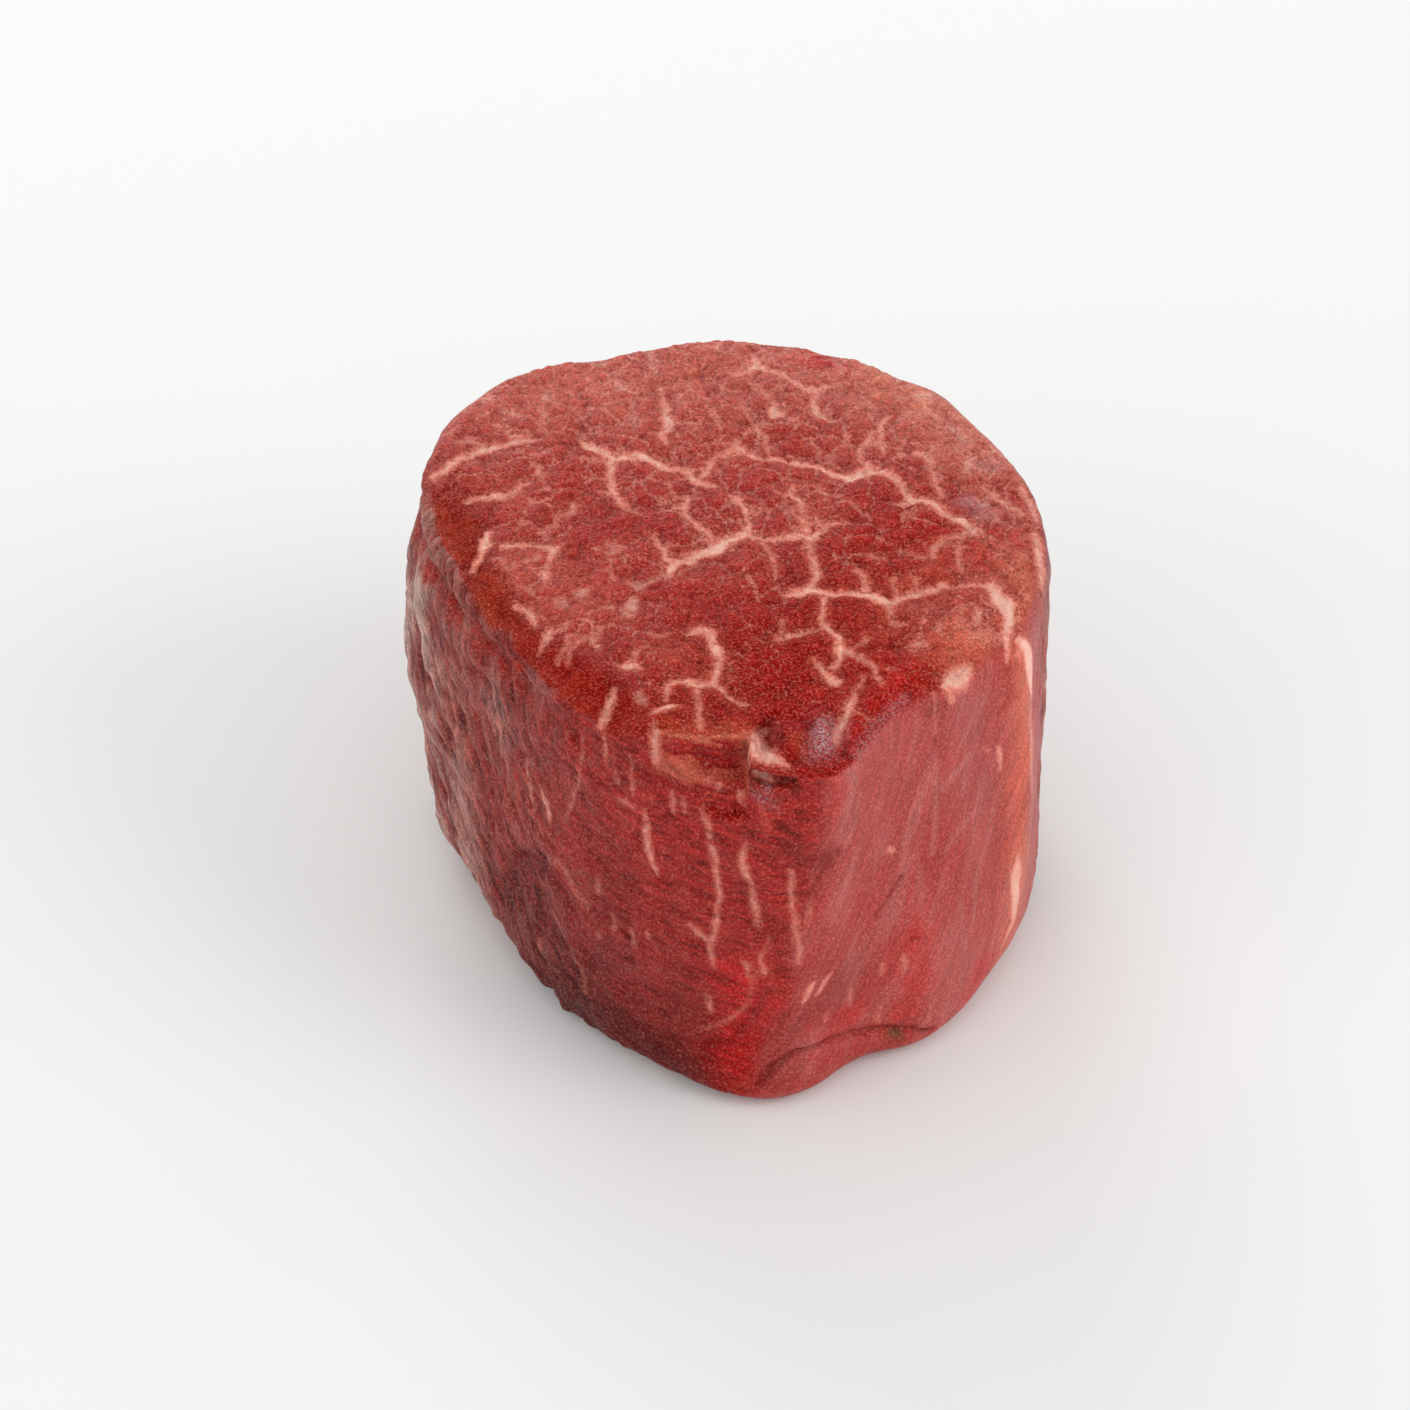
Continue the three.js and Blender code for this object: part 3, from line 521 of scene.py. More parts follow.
# Grains of the side: bearing of their middle, length and width of a lump in mm, lean in degrees, seed.
GRAINS = {
    "skin, broad": (200, 9, 3, 38, 22),
    "skin, narrow": (200, 4.5, 1.1, 46, 23),
    "skin, fine": (200, 3.2, 0.9, 52, 24),
    "wrinkles": (258, 6.5, 1, 80, 32),
    "front, level": (258, 9, 1.5, 83, 34),
    "front, upright": (258, 2.6, 9, 90, 35),
    "smooth, fine": (310, 14, 2.4, -30, 36),
    "smooth, broad": (310, 9, 6, -10, 37),
    "back net": (60, 12, 2.8, 18, 38),
    "back, fine": (60, 6, 1.6, 20, 39),
    "film, broad": (310, 14, 3, -30, 83),
    "threads": (258, 4.5, 0.9, 4, 84),
    "film, fine": (310, 6, 0.9, -18, 85),
    "crazes, right": (230, 6, 1.7, 24, 86),
    "crazes, left": (230, 5, 1.5, -14, 87),
}
# Bundles of cut fibres on the upper face: size in mm, seed.
LARGE_BUNDLES = (3.4, 43)
SMALL_BUNDLES = (1.7, 47)


# --- Small maths on arrays -------------------------------------------------------------------------

def smoothstep(low, high, value):
    share = np.clip((value - low) / (high - low), 0.0, 1.0)
    return share * share * (3.0 - 2.0 * share)


def window(value, start, full, fall, end):
    """Rises from 0 to 1 between the first two numbers, and falls again between the last two."""
    return smoothstep(start, full, value) * (1.0 - smoothstep(fall, end, value))


def bell(distance, spread):
    return np.exp(-((distance / spread) ** 2))


def turn(start, end):
    """Degrees from one bearing to another, from -180 to 180."""
    return (end - start + 180.0) % 360.0 - 180.0


def gradient_noise(points, seed):
    """Smooth noise of about -1 to 1, at points measured in cells."""
    chance = np.random.default_rng(seed)
    order = chance.permutation(256)
    slopes = chance.normal(size=(256, 3))
    slopes /= np.linalg.norm(slopes, axis=1, keepdims=True)
    cell = np.floor(points).astype(int)
    inside = points - cell
    ease = inside**3 * (inside * (inside * 6.0 - 15.0) + 10.0)
    total = np.zeros(len(points))
    for corner in product((0, 1), repeat=3):
        x, y, z = ((cell + corner) & 255).T
        slope = slopes[order[(order[(order[x] + y) & 255] + z) & 255]]
        weight = np.prod(np.where(corner, ease, 1.0 - ease), axis=1)
        total += weight * np.einsum("ij,ij->i", slope, inside - corner)
    return total * 1.55


def flat_noise(x, y, seed):
    return gradient_noise(np.stack([x, y, np.full_like(x, seed * 0.37)], axis=1), seed)


def cell_gaps(x, y, seed):
    """For cells scattered one to a unit square: distance to the nearest middle, and gap to the border."""
    chance = np.random.default_rng(seed)
    shift = chance.random((64, 64, 2))
    column = np.floor(x).astype(int)
    row = np.floor(y).astype(int)
    nearest = np.full(len(x), np.inf)
    second = np.full(len(x), np.inf)
    for i, j in product((-1, 0, 1), repeat=2):
        middle = shift[(column + i) % 64, (row + j) % 64]
        away = np.hypot(column + i + middle[:, 0] - x, row + j + middle[:, 1] - y)
        second = np.minimum(second, np.maximum(nearest, away))
        nearest = np.minimum(nearest, away)
    return nearest, second - nearest


def distance_to_path(x, y, path):
    """Distance to a path, and the width that the path has at its nearest place (0 if it states none)."""
    least = np.full(len(x), np.inf)
    width = np.zeros(len(x))
    for start, end in zip(path, path[1:]):
        step_x, step_y = end[0] - start[0], end[1] - start[1]
        length = max(step_x**2 + step_y**2, 1e-9)
        share = np.clip(((x - start[0]) * step_x + (y - start[1]) * step_y) / length, 0.0, 1.0)
        away = np.hypot(x - start[0] - share * step_x, y - start[1] - share * step_y)
        if len(start) == 3:
            width = np.where(away < least, start[2] + share * (end[2] - start[2]), width)
        least = np.minimum(least, away)
    return least, width


def unroll(bearing):
    """Place along the side laid flat, in mm from the bearing 90 at the back."""
    return np.radians((bearing - 90.0) % 360.0) * SIDE_REACH


def unrolled(path):
    return [(float(unroll(place[0])), *place[1:]) for place in path]


# --- The surface -----------------------------------------------------------------------------------

class Surface:
    """The places of a mesh's vertices in mm, with their bearing and height, and which way they face."""

    def __init__(self, mesh):
        count = len(mesh.vertices)
        self.mesh = mesh
        place = np.empty(count * 3)
        mesh.vertices.foreach_get("co", place)
        self.place = place.reshape(-1, 3) / MM
        normal = np.empty(count * 3)
        mesh.vertices.foreach_get("normal", normal)
        self.normal = normal.reshape(-1, 3)
        self.x = self.place[:, 0] - AXIS[0]
        self.y = self.place[:, 1] - AXIS[1]
        self.height = self.place[:, 2]
        self.bearing = np.degrees(np.arctan2(self.y, self.x)) % 360.0
        self.reach = np.hypot(self.x, self.y)
        self.along = unroll(self.bearing)
        over_rim = np.clip((self.height - 46.0) / 4.0, 0.0, 1.0)
        self.rise = self.height - over_rim * (self.reach - 33.0)  # the height, carried on over the rim

    def soften(self, rounds):
        """Evens the normals over the neighbours, so that fine relief doesn't turn them."""
        edges = np.empty(len(self.mesh.edges) * 2, dtype=np.int32)
        self.mesh.edges.foreach_get("vertices", edges)
        first, second = edges.reshape(-1, 2).T
        count = len(self.normal)
        for _ in range(rounds):
            total = self.normal.copy()
            for axis in range(3):
                total[:, axis] += np.bincount(first, self.normal[second, axis], count)
                total[:, axis] += np.bincount(second, self.normal[first, axis], count)
            self.normal = total / np.linalg.norm(total, axis=1, keepdims=True)
        return self

    def move(self, out, down=0.0):
        """Moves the vertices along their normals and straight down, in mm, but not into the floor."""
        moved = self.place + self.normal * out[:, None]
        moved[:, 2] = np.maximum(moved[:, 2] - down, 0.0)
        self.mesh.vertices.foreach_set("co", (moved * MM).ravel())
        self.mesh.update()


def sectors(surface):
    """How much each vertex belongs to the upper face and to each stretch of the side."""
    height = surface.height
    wobble = 5.0 * flat_noise(surface.along / 7.0, height / 9.0, 3)
    bearing = surface.bearing + wobble
    slant = (height - 25.0) * 0.42  # low down, the left silver skin reaches further to the front
    past_left = smoothstep(-9.0, 9.0, bearing - (238.0 - slant))
    bound = 281.0 + 5.0 * smoothstep(20.0, 44.0, height) - 6.0 * smoothstep(20.0, 6.0, height)
    past_front = smoothstep(-2.5, 2.5, bearing - wobble * 0.7 - bound)
    left = smoothstep(150, 168, bearing) * (1.0 - past_left)
    smooth = past_front * (1.0 - smoothstep(338, 354, surface.bearing))
    front = past_left * (1.0 - past_front)
    back = np.clip(1.0 - left - smooth - front, 0.0, 1.0)
    face = smoothstep(0.45, 0.85, surface.normal[:, 2])
    return {"face": face, "left": left, "front": front, "smooth": smooth, "back": back}


def grain(surface, name):
    """Noise drawn out along strands on the side. They lean off upright, seen from outside."""
    middle, along, across, lean, seed = GRAINS[name]
    over = np.radians(turn(middle, surface.bearing)) * SIDE_REACH
    angle = math.radians(lean)
    run = surface.rise * math.cos(angle) - over * math.sin(angle)
    step = over * math.cos(angle) + surface.rise * math.sin(angle)
    return flat_noise(step / across, run / along, seed)


def net(value, width):
    """Thin lines where a noise crosses zero, from 0 between them to 1 on them."""
    return 1.0 - smoothstep(0.0, width, np.abs(value))


def veils(surface):
    """The silver skin at the left, from 0 in its gaps to 1 where it is thick."""
    bend = 0.5 * flat_noise(surface.along / 5.0, surface.height / 6.0, 21)
    broad = grain(surface, "skin, broad") + 0.5 * bend
    narrow = grain(surface, "skin, narrow") + bend
    return np.clip(0.58 + 0.50 * broad + 0.42 * narrow, 0.0, 1.0)


def crinkles(surface):
    """Fine ridges and furrows of the silver skin at the left, from -1 to 1."""
    along, rise = surface.along, surface.rise
    bend = 0.6 * flat_noise(along / 2.2, rise / 2.2, 25)
    fine = grain(surface, "skin, fine") + bend * flat_noise(along / 1.1, rise / 1.4, 26)
    clumps = 0.5 + 0.9 * smoothstep(-0.3, 0.5, flat_noise(along / 4.0, rise / 5.0, 27))
    return np.clip(1.2 * fine * clumps, -1.0, 1.0)


def front_wrinkles(surface):
    """Short level wrinkles, from 0 outside them to 1 at the bottom of one. They crowd under the corner."""
    bend = 0.4 * flat_noise(surface.along / 3.5, surface.height / 3.5, 31)
    fine = grain(surface, "wrinkles") + bend * 0.5
    crowd = 0.5 * smoothstep(36.0, 43.0, surface.height)
    broken = smoothstep(-0.2, 0.4, flat_noise(surface.along / 3.2, surface.height / 2.0, 33) + crowd)
    return net(fine, 0.20) * broken


def bundles(surface, size, seed):
    """Bundles of cut fibres on the upper face: domes from 0 to 1, and the gap in mm to each one's border."""
    x, y = surface.x / size, surface.y / size
    bent_x = x + 0.35 * flat_noise(x, y, seed + 1) + 0.10 * flat_noise(x * 3.1, y * 3.1, seed + 3)
    bent_y = y * 1.1 + 0.35 * flat_noise(x, y, seed + 2) + 0.10 * flat_noise(x * 3.1, y * 3.1, seed + 4)
    nearest, border = cell_gaps(bent_x + 30.0, bent_y + 30.0, seed)
    return 1.0 - np.clip(nearest, 0.0, 1.0) ** 2, border * size / 2.0


def cracks(surface):
    """Short crooked cracks between the bundles of the upper face, from 0 outside them to 1 in one."""
    x, y = surface.x, surface.y
    run = flat_noise(x / 2.4, y / 1.3, 94) + 0.30 * flat_noise(x / 0.8, y / 0.8, 95)
    return net(run, 0.09) * smoothstep(-0.1, 0.4, flat_noise(x / 3.6, y / 3.6, 96))


def web_gap(surface):
    """Gap in mm to the nearest thread of the upper face's fine net of tissue. It fades out in patches."""
    strong = smoothstep(-12.0, 18.0, 0.6 * surface.x + 0.8 * surface.y)
    patch = flat_noise(surface.x / 6.5, surface.y / 6.5, 46)
    faint = smoothstep(0.35, -0.45, patch + 0.7 * strong)
    _, coarse = bundles(surface, *LARGE_BUNDLES)
    _, fine = bundles(surface, *SMALL_BUNDLES)
    return np.minimum(coarse + 0.22 * faint, fine + 0.22 + 0.6 * faint)


def sway(surface, seed):
    """A wander of about 0.4 mm for the edges of the fat."""
    deep = surface.height / 3.0
    broad = flat_noise(surface.x / 1.9, surface.y / 1.9 + deep, seed)
    return 0.30 * broad + 0.10 * flat_noise(surface.x / 0.9, surface.y / 0.9 + deep, seed + 2)


def fat_fields(surface, region):
    """Gap to the nearest fat, in mm from its edge, and how white that fat is."""
    sway_x = sway(surface, 51)
    sway_y = sway(surface, 52)
    gap = np.full(len(surface.x), 9.0)
    white = np.zeros(len(surface.x))
    on_face = surface.height > HEIGHT - 5.5
    on_side = region["face"] < 0.7
    below = 0.6 * np.maximum(HEIGHT - 3.3 - surface.height, 0.0)  # the face's fat thins out down the side
    tables = (
        (FACE_FAT, on_face, surface.x + sway_x, surface.y + sway_y, below, list),
        (SIDE_FAT, on_side, surface.along + sway_x, surface.height + sway_y, 0.0 * below, unrolled),
    )
    for table, chosen, x, y, thinner, lay in tables:
        for share, *path in table:
            away, width = distance_to_path(x[chosen], y[chosen], lay(path))
            new = away - width / 2.0 + thinner[chosen]
            nearer = new < gap[chosen]
            gap[chosen] = np.where(nearer, new, gap[chosen])
            white[chosen] = np.where(nearer, share, white[chosen])
    return gap, white


def strand_field(surface):
    """The strands of silver skin, from 0 to 1."""
    total = np.zeros(len(surface.x))
    bent = surface.height + 0.6 * flat_noise(surface.along / 2.8, surface.height / 2.8, 61)
    for share, *path in STRANDS:
        away, width = distance_to_path(surface.along, bent, unrolled(path))
        total = np.maximum(total, share * (1.0 - smoothstep(-0.4, 1.0, away - width / 2.0)))
    return total


def depths(surface, table):
    """How deep a table of furrows is at each vertex, in mm."""
    total = np.zeros(len(surface.x))
    bent = surface.height + 0.35 * flat_noise(surface.along / 2.4, surface.height / 2.4, 71)
    for half, depth, *path in table:
        away, _ = distance_to_path(surface.along, bent, unrolled(path))
        total = np.maximum(total, depth * bell(away, half))
    return total


# --- The torn front corner and the left rim --------------------------------------------------------

LEDGE = ((-8.4, -32.6), (-6.2, -33.6), (-3.0, -33.6), (0.6, -33.4), (2.6, -33.0))  # its sharp upper edge
LEDGE_ENDS = (-8.6, 2.4)  # x
SHARD = ((2.9, -33.6), (3.4, -35.4), (5.6, -36.8))  # fat that hangs over the cavity
SCRAP = ((-7.9, -30.6), (-6.8, -29.2), (-5.2, -28.9))  # a scrap of fat that stands up
FLAP = (264.0, 45.9)  # the middle of the torn flap: bearing, height
# The hole under the shard: where it starts, is deepest and ends, in bearing and in height. HOLLOW is
# where painted shade darkens it and its rim.
CAVITY = ((273.2, 275.2, 279.5, 282.5), (46.3, 47.1, 48.3, 48.7))
HOLLOW = ((272.2, 274.0, 282.0, 285.0), (46.0, 46.8, 48.6, 49.2))
LOBES = (  # middle, spread, how far out
    ((6.7, -33.4), 2.0, 1.0),
    ((10.8, -33.4), 1.9, 0.7),
    ((14.8, -31.6), 2.2, 0.5),
    ((0.3, -31.2), 2.6, 0.4),
    ((-5.4, -31.4), 1.8, 0.5),
)
CLEFTS = (  # between the lobes
    ((4.4, -30.2), (4.3, -32.0), (4.6, -34.4)),
    ((9.0, -30.6), (9.1, -35.6)),
    ((12.9, -30.2), (12.7, -35.4)),
)
# The glossy band along the left rim lies between these edges: bearing, reach.
BAND_INSIDE = (
    (160, 31.4), (174, 28.8), (186, 27.4), (192, 26.4), (212, 26.0), (227, 25.0), (242, 26.4), (252, 29.0))
BAND_OUTSIDE = (
    (165, 35.6), (178, 32.6), (186, 30.7), (202, 29.6), (210, 28.4), (228, 29.6), (244, 32.3), (252, 34.5))
BAND_ENDS = (158, 172, 246, 256)  # it fades in and out between these bearings


def beyond_ledge(surface):
    """How far each vertex is out past the ledge, in mm, and how much the ledge counts there."""
    ledge_x, ledge_y = zip(*LEDGE)
    wobble = 0.35 * flat_noise(surface.x / 1.6, surface.x * 0.0, 91)
    beyond = np.interp(surface.x, ledge_x, ledge_y) + wobble - surface.y
    left, right = LEDGE_ENDS
    soft = 1.6 * smoothstep(48.0, 45.0, surface.height)  # the ledge's right end is sharp only at the top
    from_end = (surface.x - right) / (0.3 + soft)
    return beyond, smoothstep(left, left + 1.4, surface.x) * (1.0 - smoothstep(-1.0, 1.0, from_end))


def past_band(surface, edge):
    """How far each vertex is out past an edge of the band along the left rim, in mm, and the band's share."""
    bearings, reaches = zip(*edge)
    wobble = 0.45 * flat_noise(surface.x / 2.6, surface.y / 2.6, 92)
    past = surface.reach - np.interp(surface.bearing, bearings, reaches) + wobble
    return past, window(surface.bearing, *BAND_ENDS)


def left_rim(surface):
    """How much each vertex belongs to the glossy band along the left rim, and to the skin outside it."""
    high = smoothstep(44.6, 46.0, surface.height)
    inner, share = past_band(surface, BAND_INSIDE)
    outer, _ = past_band(surface, BAND_OUTSIDE)
    skin = smoothstep(-0.1, 0.4, outer)
    return high * share * smoothstep(-1.4, 1.4, inner) * (1.0 - skin), high * share * skin


def opening(surface, ends):
    """How much each vertex is in an opening of the side, from 0 to 1, given its ends as CAVITY's are."""
    bearings, (start, full, fall, end) = ends
    across = window(surface.bearing, *bearings)
    return across * smoothstep(start, full, surface.height) * (1.0 - smoothstep(fall, end, surface.height))


def sink(surface):
    """How far the rim sinks straight down, in mm: past the torn ledge, and along the left shoulder."""
    beyond, share = beyond_ledge(surface)
    deep = 1.4 + 2.2 * smoothstep(-4.0, -2.0, surface.x)
    high = smoothstep(41.0, 47.8, surface.height)
    torn = share * high * deep * (smoothstep(0.0, 0.45, beyond) + 0.10 * np.clip(beyond, 0.0, 4.0))
    past, share = past_band(surface, BAND_INSIDE)
    shoulder = share * high * 1.4 * smoothstep(-0.5, 5.0, past)
    return torn + shoulder


def swell(surface):
    """How far the torn corner's lobes, shard and cavity stand out or in along the normal, in mm."""
    on_top = smoothstep(0.3, 0.8, surface.normal[:, 2])
    move = -2.2 * opening(surface, CAVITY)
    for (x, y), spread, out in LOBES:
        move += on_top * out * bell(np.hypot(surface.x - x, surface.y - y), spread)
    for path in CLEFTS:
        away, _ = distance_to_path(surface.x, surface.y, path)
        move -= on_top * 0.8 * bell(away, 0.7)
    away, _ = distance_to_path(surface.x, surface.y, SHARD)
    move += 0.8 * bell(away, 1.0) * smoothstep(48.4, 49.0, surface.height)
    away, _ = distance_to_path(surface.x, surface.y, SCRAP)
    move += on_top * 0.8 * bell(away, 0.7)
    flap = bell(surface.along - unroll(FLAP[0]), 4.0) * bell(surface.height - FLAP[1], 1.0)
    return move + 0.5 * flap


# --- Making the mesh -------------------------------------------------------------------------------

def new_piece(name, mesh):
    piece = bpy.data.objects.new(name, mesh)
    bpy.context.scene.collection.objects.link(piece)
    return piece


def settle(piece):
    """Turns the piece's modifiers into its mesh."""
    graph = bpy.context.evaluated_depsgraph_get()
    mesh = bpy.data.meshes.new_from_object(piece.evaluated_get(graph))
    piece.modifiers.clear()
    piece.data = mesh


def rounded_copy(node, name):
    """The CAD node's surface as smooth quads."""
    mesh = node.data.copy()
    mesh.materials.clear()
    work = bmesh.new()
    work.from_mesh(mesh)
    bmesh.ops.remove_doubles(work, verts=work.verts, dist=1e-6)
    straight = math.pi
    bmesh.ops.join_triangles(
        work, faces=work.faces, angle_face_threshold=straight, angle_shape_threshold=straight)
    work.to_mesh(mesh)
    work.free()
    piece = new_piece(name, mesh)
    smooth = piece.modifiers.new("smooth", "SUBSURF")
    smooth.levels = 3
    settle(piece)
    return piece


def remesh(piece):
    even = piece.modifiers.new("even", "REMESH")
    even.mode = "VOXEL"
    even.voxel_size = VOXEL * MM
    settle(piece)


def fine_relief(surface):
    """The grain of the meat, in mm along the normal."""
    region = sectors(surface)
    _, skin = left_rim(surface)
    face = region["face"] * (1.0 - skin)
    side = 1.0 - face
    gap, white = fat_fields(surface, region)
    raised = 0.07 * side * white * (1.0 - smoothstep(-0.3, 0.6, gap))
    folds = side * (depths(surface, FILLS) - depths(surface, CREASES))
    off_floor = smoothstep(0.0, 1.2, surface.height)
    relief = side * side_relief(surface, region) + face * face_relief(surface, gap, white)
    return off_floor * (relief + raised + folds)


def side_relief(surface, region):
    left = 0.75 * (np.maximum(veils(surface), 0.8 * strand_field(surface)) - 0.5)
    left += 0.40 * crinkles(surface)
    front = 0.20 * grain(surface, "front, level") + 0.16 * grain(surface, "front, upright")
    front += 0.24 * crinkles(surface) * smoothstep(262.0, 242.0, surface.bearing)
    front -= 0.32 * front_wrinkles(surface)
    smooth = 0.06 * grain(surface, "smooth, fine") + 0.10 * grain(surface, "smooth, broad")
    back = 0.45 * (net(grain(surface, "back net"), 0.45) - 0.4) + 0.22 * grain(surface, "back, fine")
    back = back * (0.15 + 0.85 * smoothstep(HEIGHT - 1.5, HEIGHT - 7.0, surface.height))  # calm up to the rim
    parts = {"left": left, "front": front, "smooth": smooth, "back": back}
    return sum(region[name] * relief for name, relief in parts.items())


def face_relief(surface, gap, white):
    """Pillows between the sunken veins, pebbled with bundles that are coarser at the right and back."""
    x, y = surface.x, surface.y
    band, _ = left_rim(surface)
    coarse = smoothstep(-14.0, 16.0, 0.5 * x + 0.8 * y)
    large, large_border = bundles(surface, *LARGE_BUNDLES)
    small, small_border = bundles(surface, *SMALL_BUNDLES)
    domes = (0.36 + 0.20 * coarse) * (large - 0.6) + (0.26 + 0.08 * coarse) * (small - 0.6)
    seams = 0.16 * (1.0 - smoothstep(0.0, 0.34, large_border))
    seams += 0.10 * (1.0 - smoothstep(0.0, 0.25, small_border))
    seams += 0.18 * cracks(surface)
    waves = 0.15 * flat_noise(x / 1.3, y / 0.9, 44) + 0.16 * flat_noise(x / 5.0, y / 5.0, 45)
    sunk = white * (0.16 * (1.0 - smoothstep(-0.3, 0.6, gap)) + 0.38 * bell(np.maximum(gap, 0.0), 1.9))
    inside = 0.2 + 0.8 * smoothstep(0.76, 0.97, surface.normal[:, 2])  # the rim itself is calmer
    return (1.0 - 0.35 * band) * inside * (domes - seams + waves) - sunk


TOP_SPACING = 0.32  # between the triangles that thin_out leaves, in mm
SIDE_SPACING = 0.42
BACK_EXTRA = 0.34
UNDER_EXTRA = 1.6


def thin_out(piece):
    """Fewer triangles where less is seen: below and at the back."""
    surface = Surface(piece.data).soften(4)
    up = surface.normal[:, 2]
    under = smoothstep(-0.6, -0.9, up)
    away = smoothstep(70.0, 115.0, np.abs(turn(262.0, surface.bearing))) * smoothstep(0.6, 0.2, up)
    spacing = np.where(up > 0.6, TOP_SPACING, SIDE_SPACING) + BACK_EXTRA * away + UNDER_EXTRA * under
    group = piece.vertex_groups.new(name="thin")
    weights = np.clip(1.0 - TOP_SPACING / spacing, 0.0, 0.97)
    steps = np.round(weights * 20).astype(int)
    for step in np.unique(steps):
        group.add(np.flatnonzero(steps == step).tolist(), step / 20.0, "REPLACE")
    triangles = sum(len(face.vertices) - 2 for face in piece.data.polygons)
    thin = piece.modifiers.new("thin", "DECIMATE")
    thin.ratio = MOST_TRIANGLES / triangles
    thin.vertex_group = group.name
    thin.vertex_group_factor = 1.0
    settle(piece)
    piece.vertex_groups.clear()


def make_steak():
    piece = rounded_copy(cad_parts["steak"], "raw_steak")
    surface = Surface(piece.data)
    surface.move(swell(surface), sink(surface))
    remesh(piece)
    surface = Surface(piece.data).soften(6)
    surface.move(fine_relief(surface))
    thin_out(piece)
    for face in piece.data.polygons:
        face.use_smooth = True
    return piece


# --- Painting --------------------------------------------------------------------------------------

def blend(colour, name, share):
    share = np.clip(share, 0.0, 1.0)[:, None]
    return colour * (1.0 - share) + np.array(COLOURS[name]) * share


def layered(colour, *layers):
    """The colour with others laid over it in turn, each given as its name and share."""
    for name, share in layers:
        colour = blend(colour, name, share)
    return colour


def plain(name, count):
    return np.tile(np.array(COLOURS[name]), (count, 1))


def tinted(colour, x, y, table, lay):
    """The colour with a table's tints on it. `lay` brings a path of the table into the plane of x and y."""
    for name, strength, spread, *path in table:
        away, _ = distance_to_path(x, y, lay(path))
        colour = blend(colour, name, strength * bell(away, spread))
    return colour


def uneven(surface):
    """Noise in broad patches and in small ones, for colours."""
    x, y, height = surface.x, surface.y, surface.height
    patches = flat_noise(x / 6.0 + height / 8.0, y / 6.0, 81)
    return patches, flat_noise(x / 1.7, y / 1.7 + height / 1.7, 82)


def silver_layers(surface, left, front, patches):
    """Silver skin, thick and pale at the far left, and thin towards the front."""
    bearing, height = surface.bearing, surface.height
    veil = veils(surface) + 0.20 * crinkles(surface)
    thick = smoothstep(217.0, 186.0, bearing + 5.0 * patches)
    pale = smoothstep(206.0, 178.0, bearing) * (1.0 - 0.7 * smoothstep(43.0, 46.0, height))
    low = smoothstep(16.0, 7.0, height) * smoothstep(212.0, 205.0, bearing)
    low = low * smoothstep(188.0, 202.0, bearing)
    crazes = net(grain(surface, "crazes, right"), 0.10) + net(grain(surface, "crazes, left"), 0.08)
    return (
        ("silver", left * (0.08 + 0.60 * thick) * smoothstep(0.15, 0.6, veil)),
        ("silver_pale", left * (0.03 + 0.62 * pale) * smoothstep(0.4, 0.95, veil)),
        ("silver_pale", 0.65 * left * low * (0.35 + 0.65 * veil)),
        # dark lean between the veils, darker still as painted shade in those hollows
        ("gap", left * 0.80 * smoothstep(0.40, 0.10, veil)),
        ("silver", (0.10 + 0.22 * thick) * strand_field(surface)),
        ("silver", 0.55 * crazes * (left + front * smoothstep(266.0, 240.0, bearing))),
    )


def film_layers(surface, smooth, patches, small):
    """The smooth film at the right, with its faint lines."""
    film = 0.5 + 0.4 * grain(surface, "film, broad") + 0.3 * grain(surface, "film, fine")
    mottled = smoothstep(18.0, 6.0, surface.height) * smoothstep(-0.1, 0.6, small)
    layers = [
        ("salmon", smooth),
        ("salmon_pale", smooth * 0.75 * smoothstep(0.45, 0.9, film)),
        ("salmon_deep", smooth * 0.6 * smoothstep(0.45, 0.05, film + 0.25 * patches)),
        ("vivid", smooth * 0.35 * mottled),
    ]
    for share, *path in FILM_LINES:
        away, width = distance_to_path(surface.along, surface.height, unrolled(path))
        layers.append(("salmon_pale", share * (1.0 - smoothstep(-0.1, 0.6, away - width / 2.0))))
    return layers


def side_colour(surface, region):
    patches, small = uneven(surface)
    bearing, height = surface.bearing, surface.height
    left, front, smooth, back = (region[name] for name in ("left", "front", "smooth", "back"))
    back_net = net(grain(surface, "back net"), 0.45)
    threads = smoothstep(0.25, 0.75, grain(surface, "threads"))
    colour = layered(
        plain("back", len(height)),
        ("silver", back * 0.7 * smoothstep(0.2, 0.9, back_net)),
        ("gap", back * 0.35 * smoothstep(0.3, 0.0, back_net)),
        ("side", front / np.maximum(1.0 - left, 0.01)),
        ("stringy", left),
        *silver_layers(surface, left, front, patches),
        *film_layers(surface, smooth, patches, small),
        ("coral", 0.30 * front * threads * smoothstep(242.0, 260.0, bearing)),
        ("deep", front * 0.30 * smoothstep(0.1, 0.8, -patches)),
        # painted shade at the bottom of the wrinkles
        ("deep", front * 0.65 * front_wrinkles(surface)),
    )
    colour = tinted(colour, surface.along + small * 0.8, height + patches, TINTS, unrolled)
    # Painted shade in the creases and pits, darker where they are deeper.
    colour = blend(colour, "deep", 0.85 * smoothstep(0.05, 0.7, depths(surface, CREASES)))
    # Painted shade: the left and front sides darker towards the floor, where less light reaches.
    low_shade = smoothstep(26.0, 4.0, height) * smoothstep(206.0, 220.0, bearing)
    low_shade = low_shade * smoothstep(274.0, 264.0, bearing)
    return colour * (1.0 - 0.44 * ((left + front) * low_shade)[:, None])


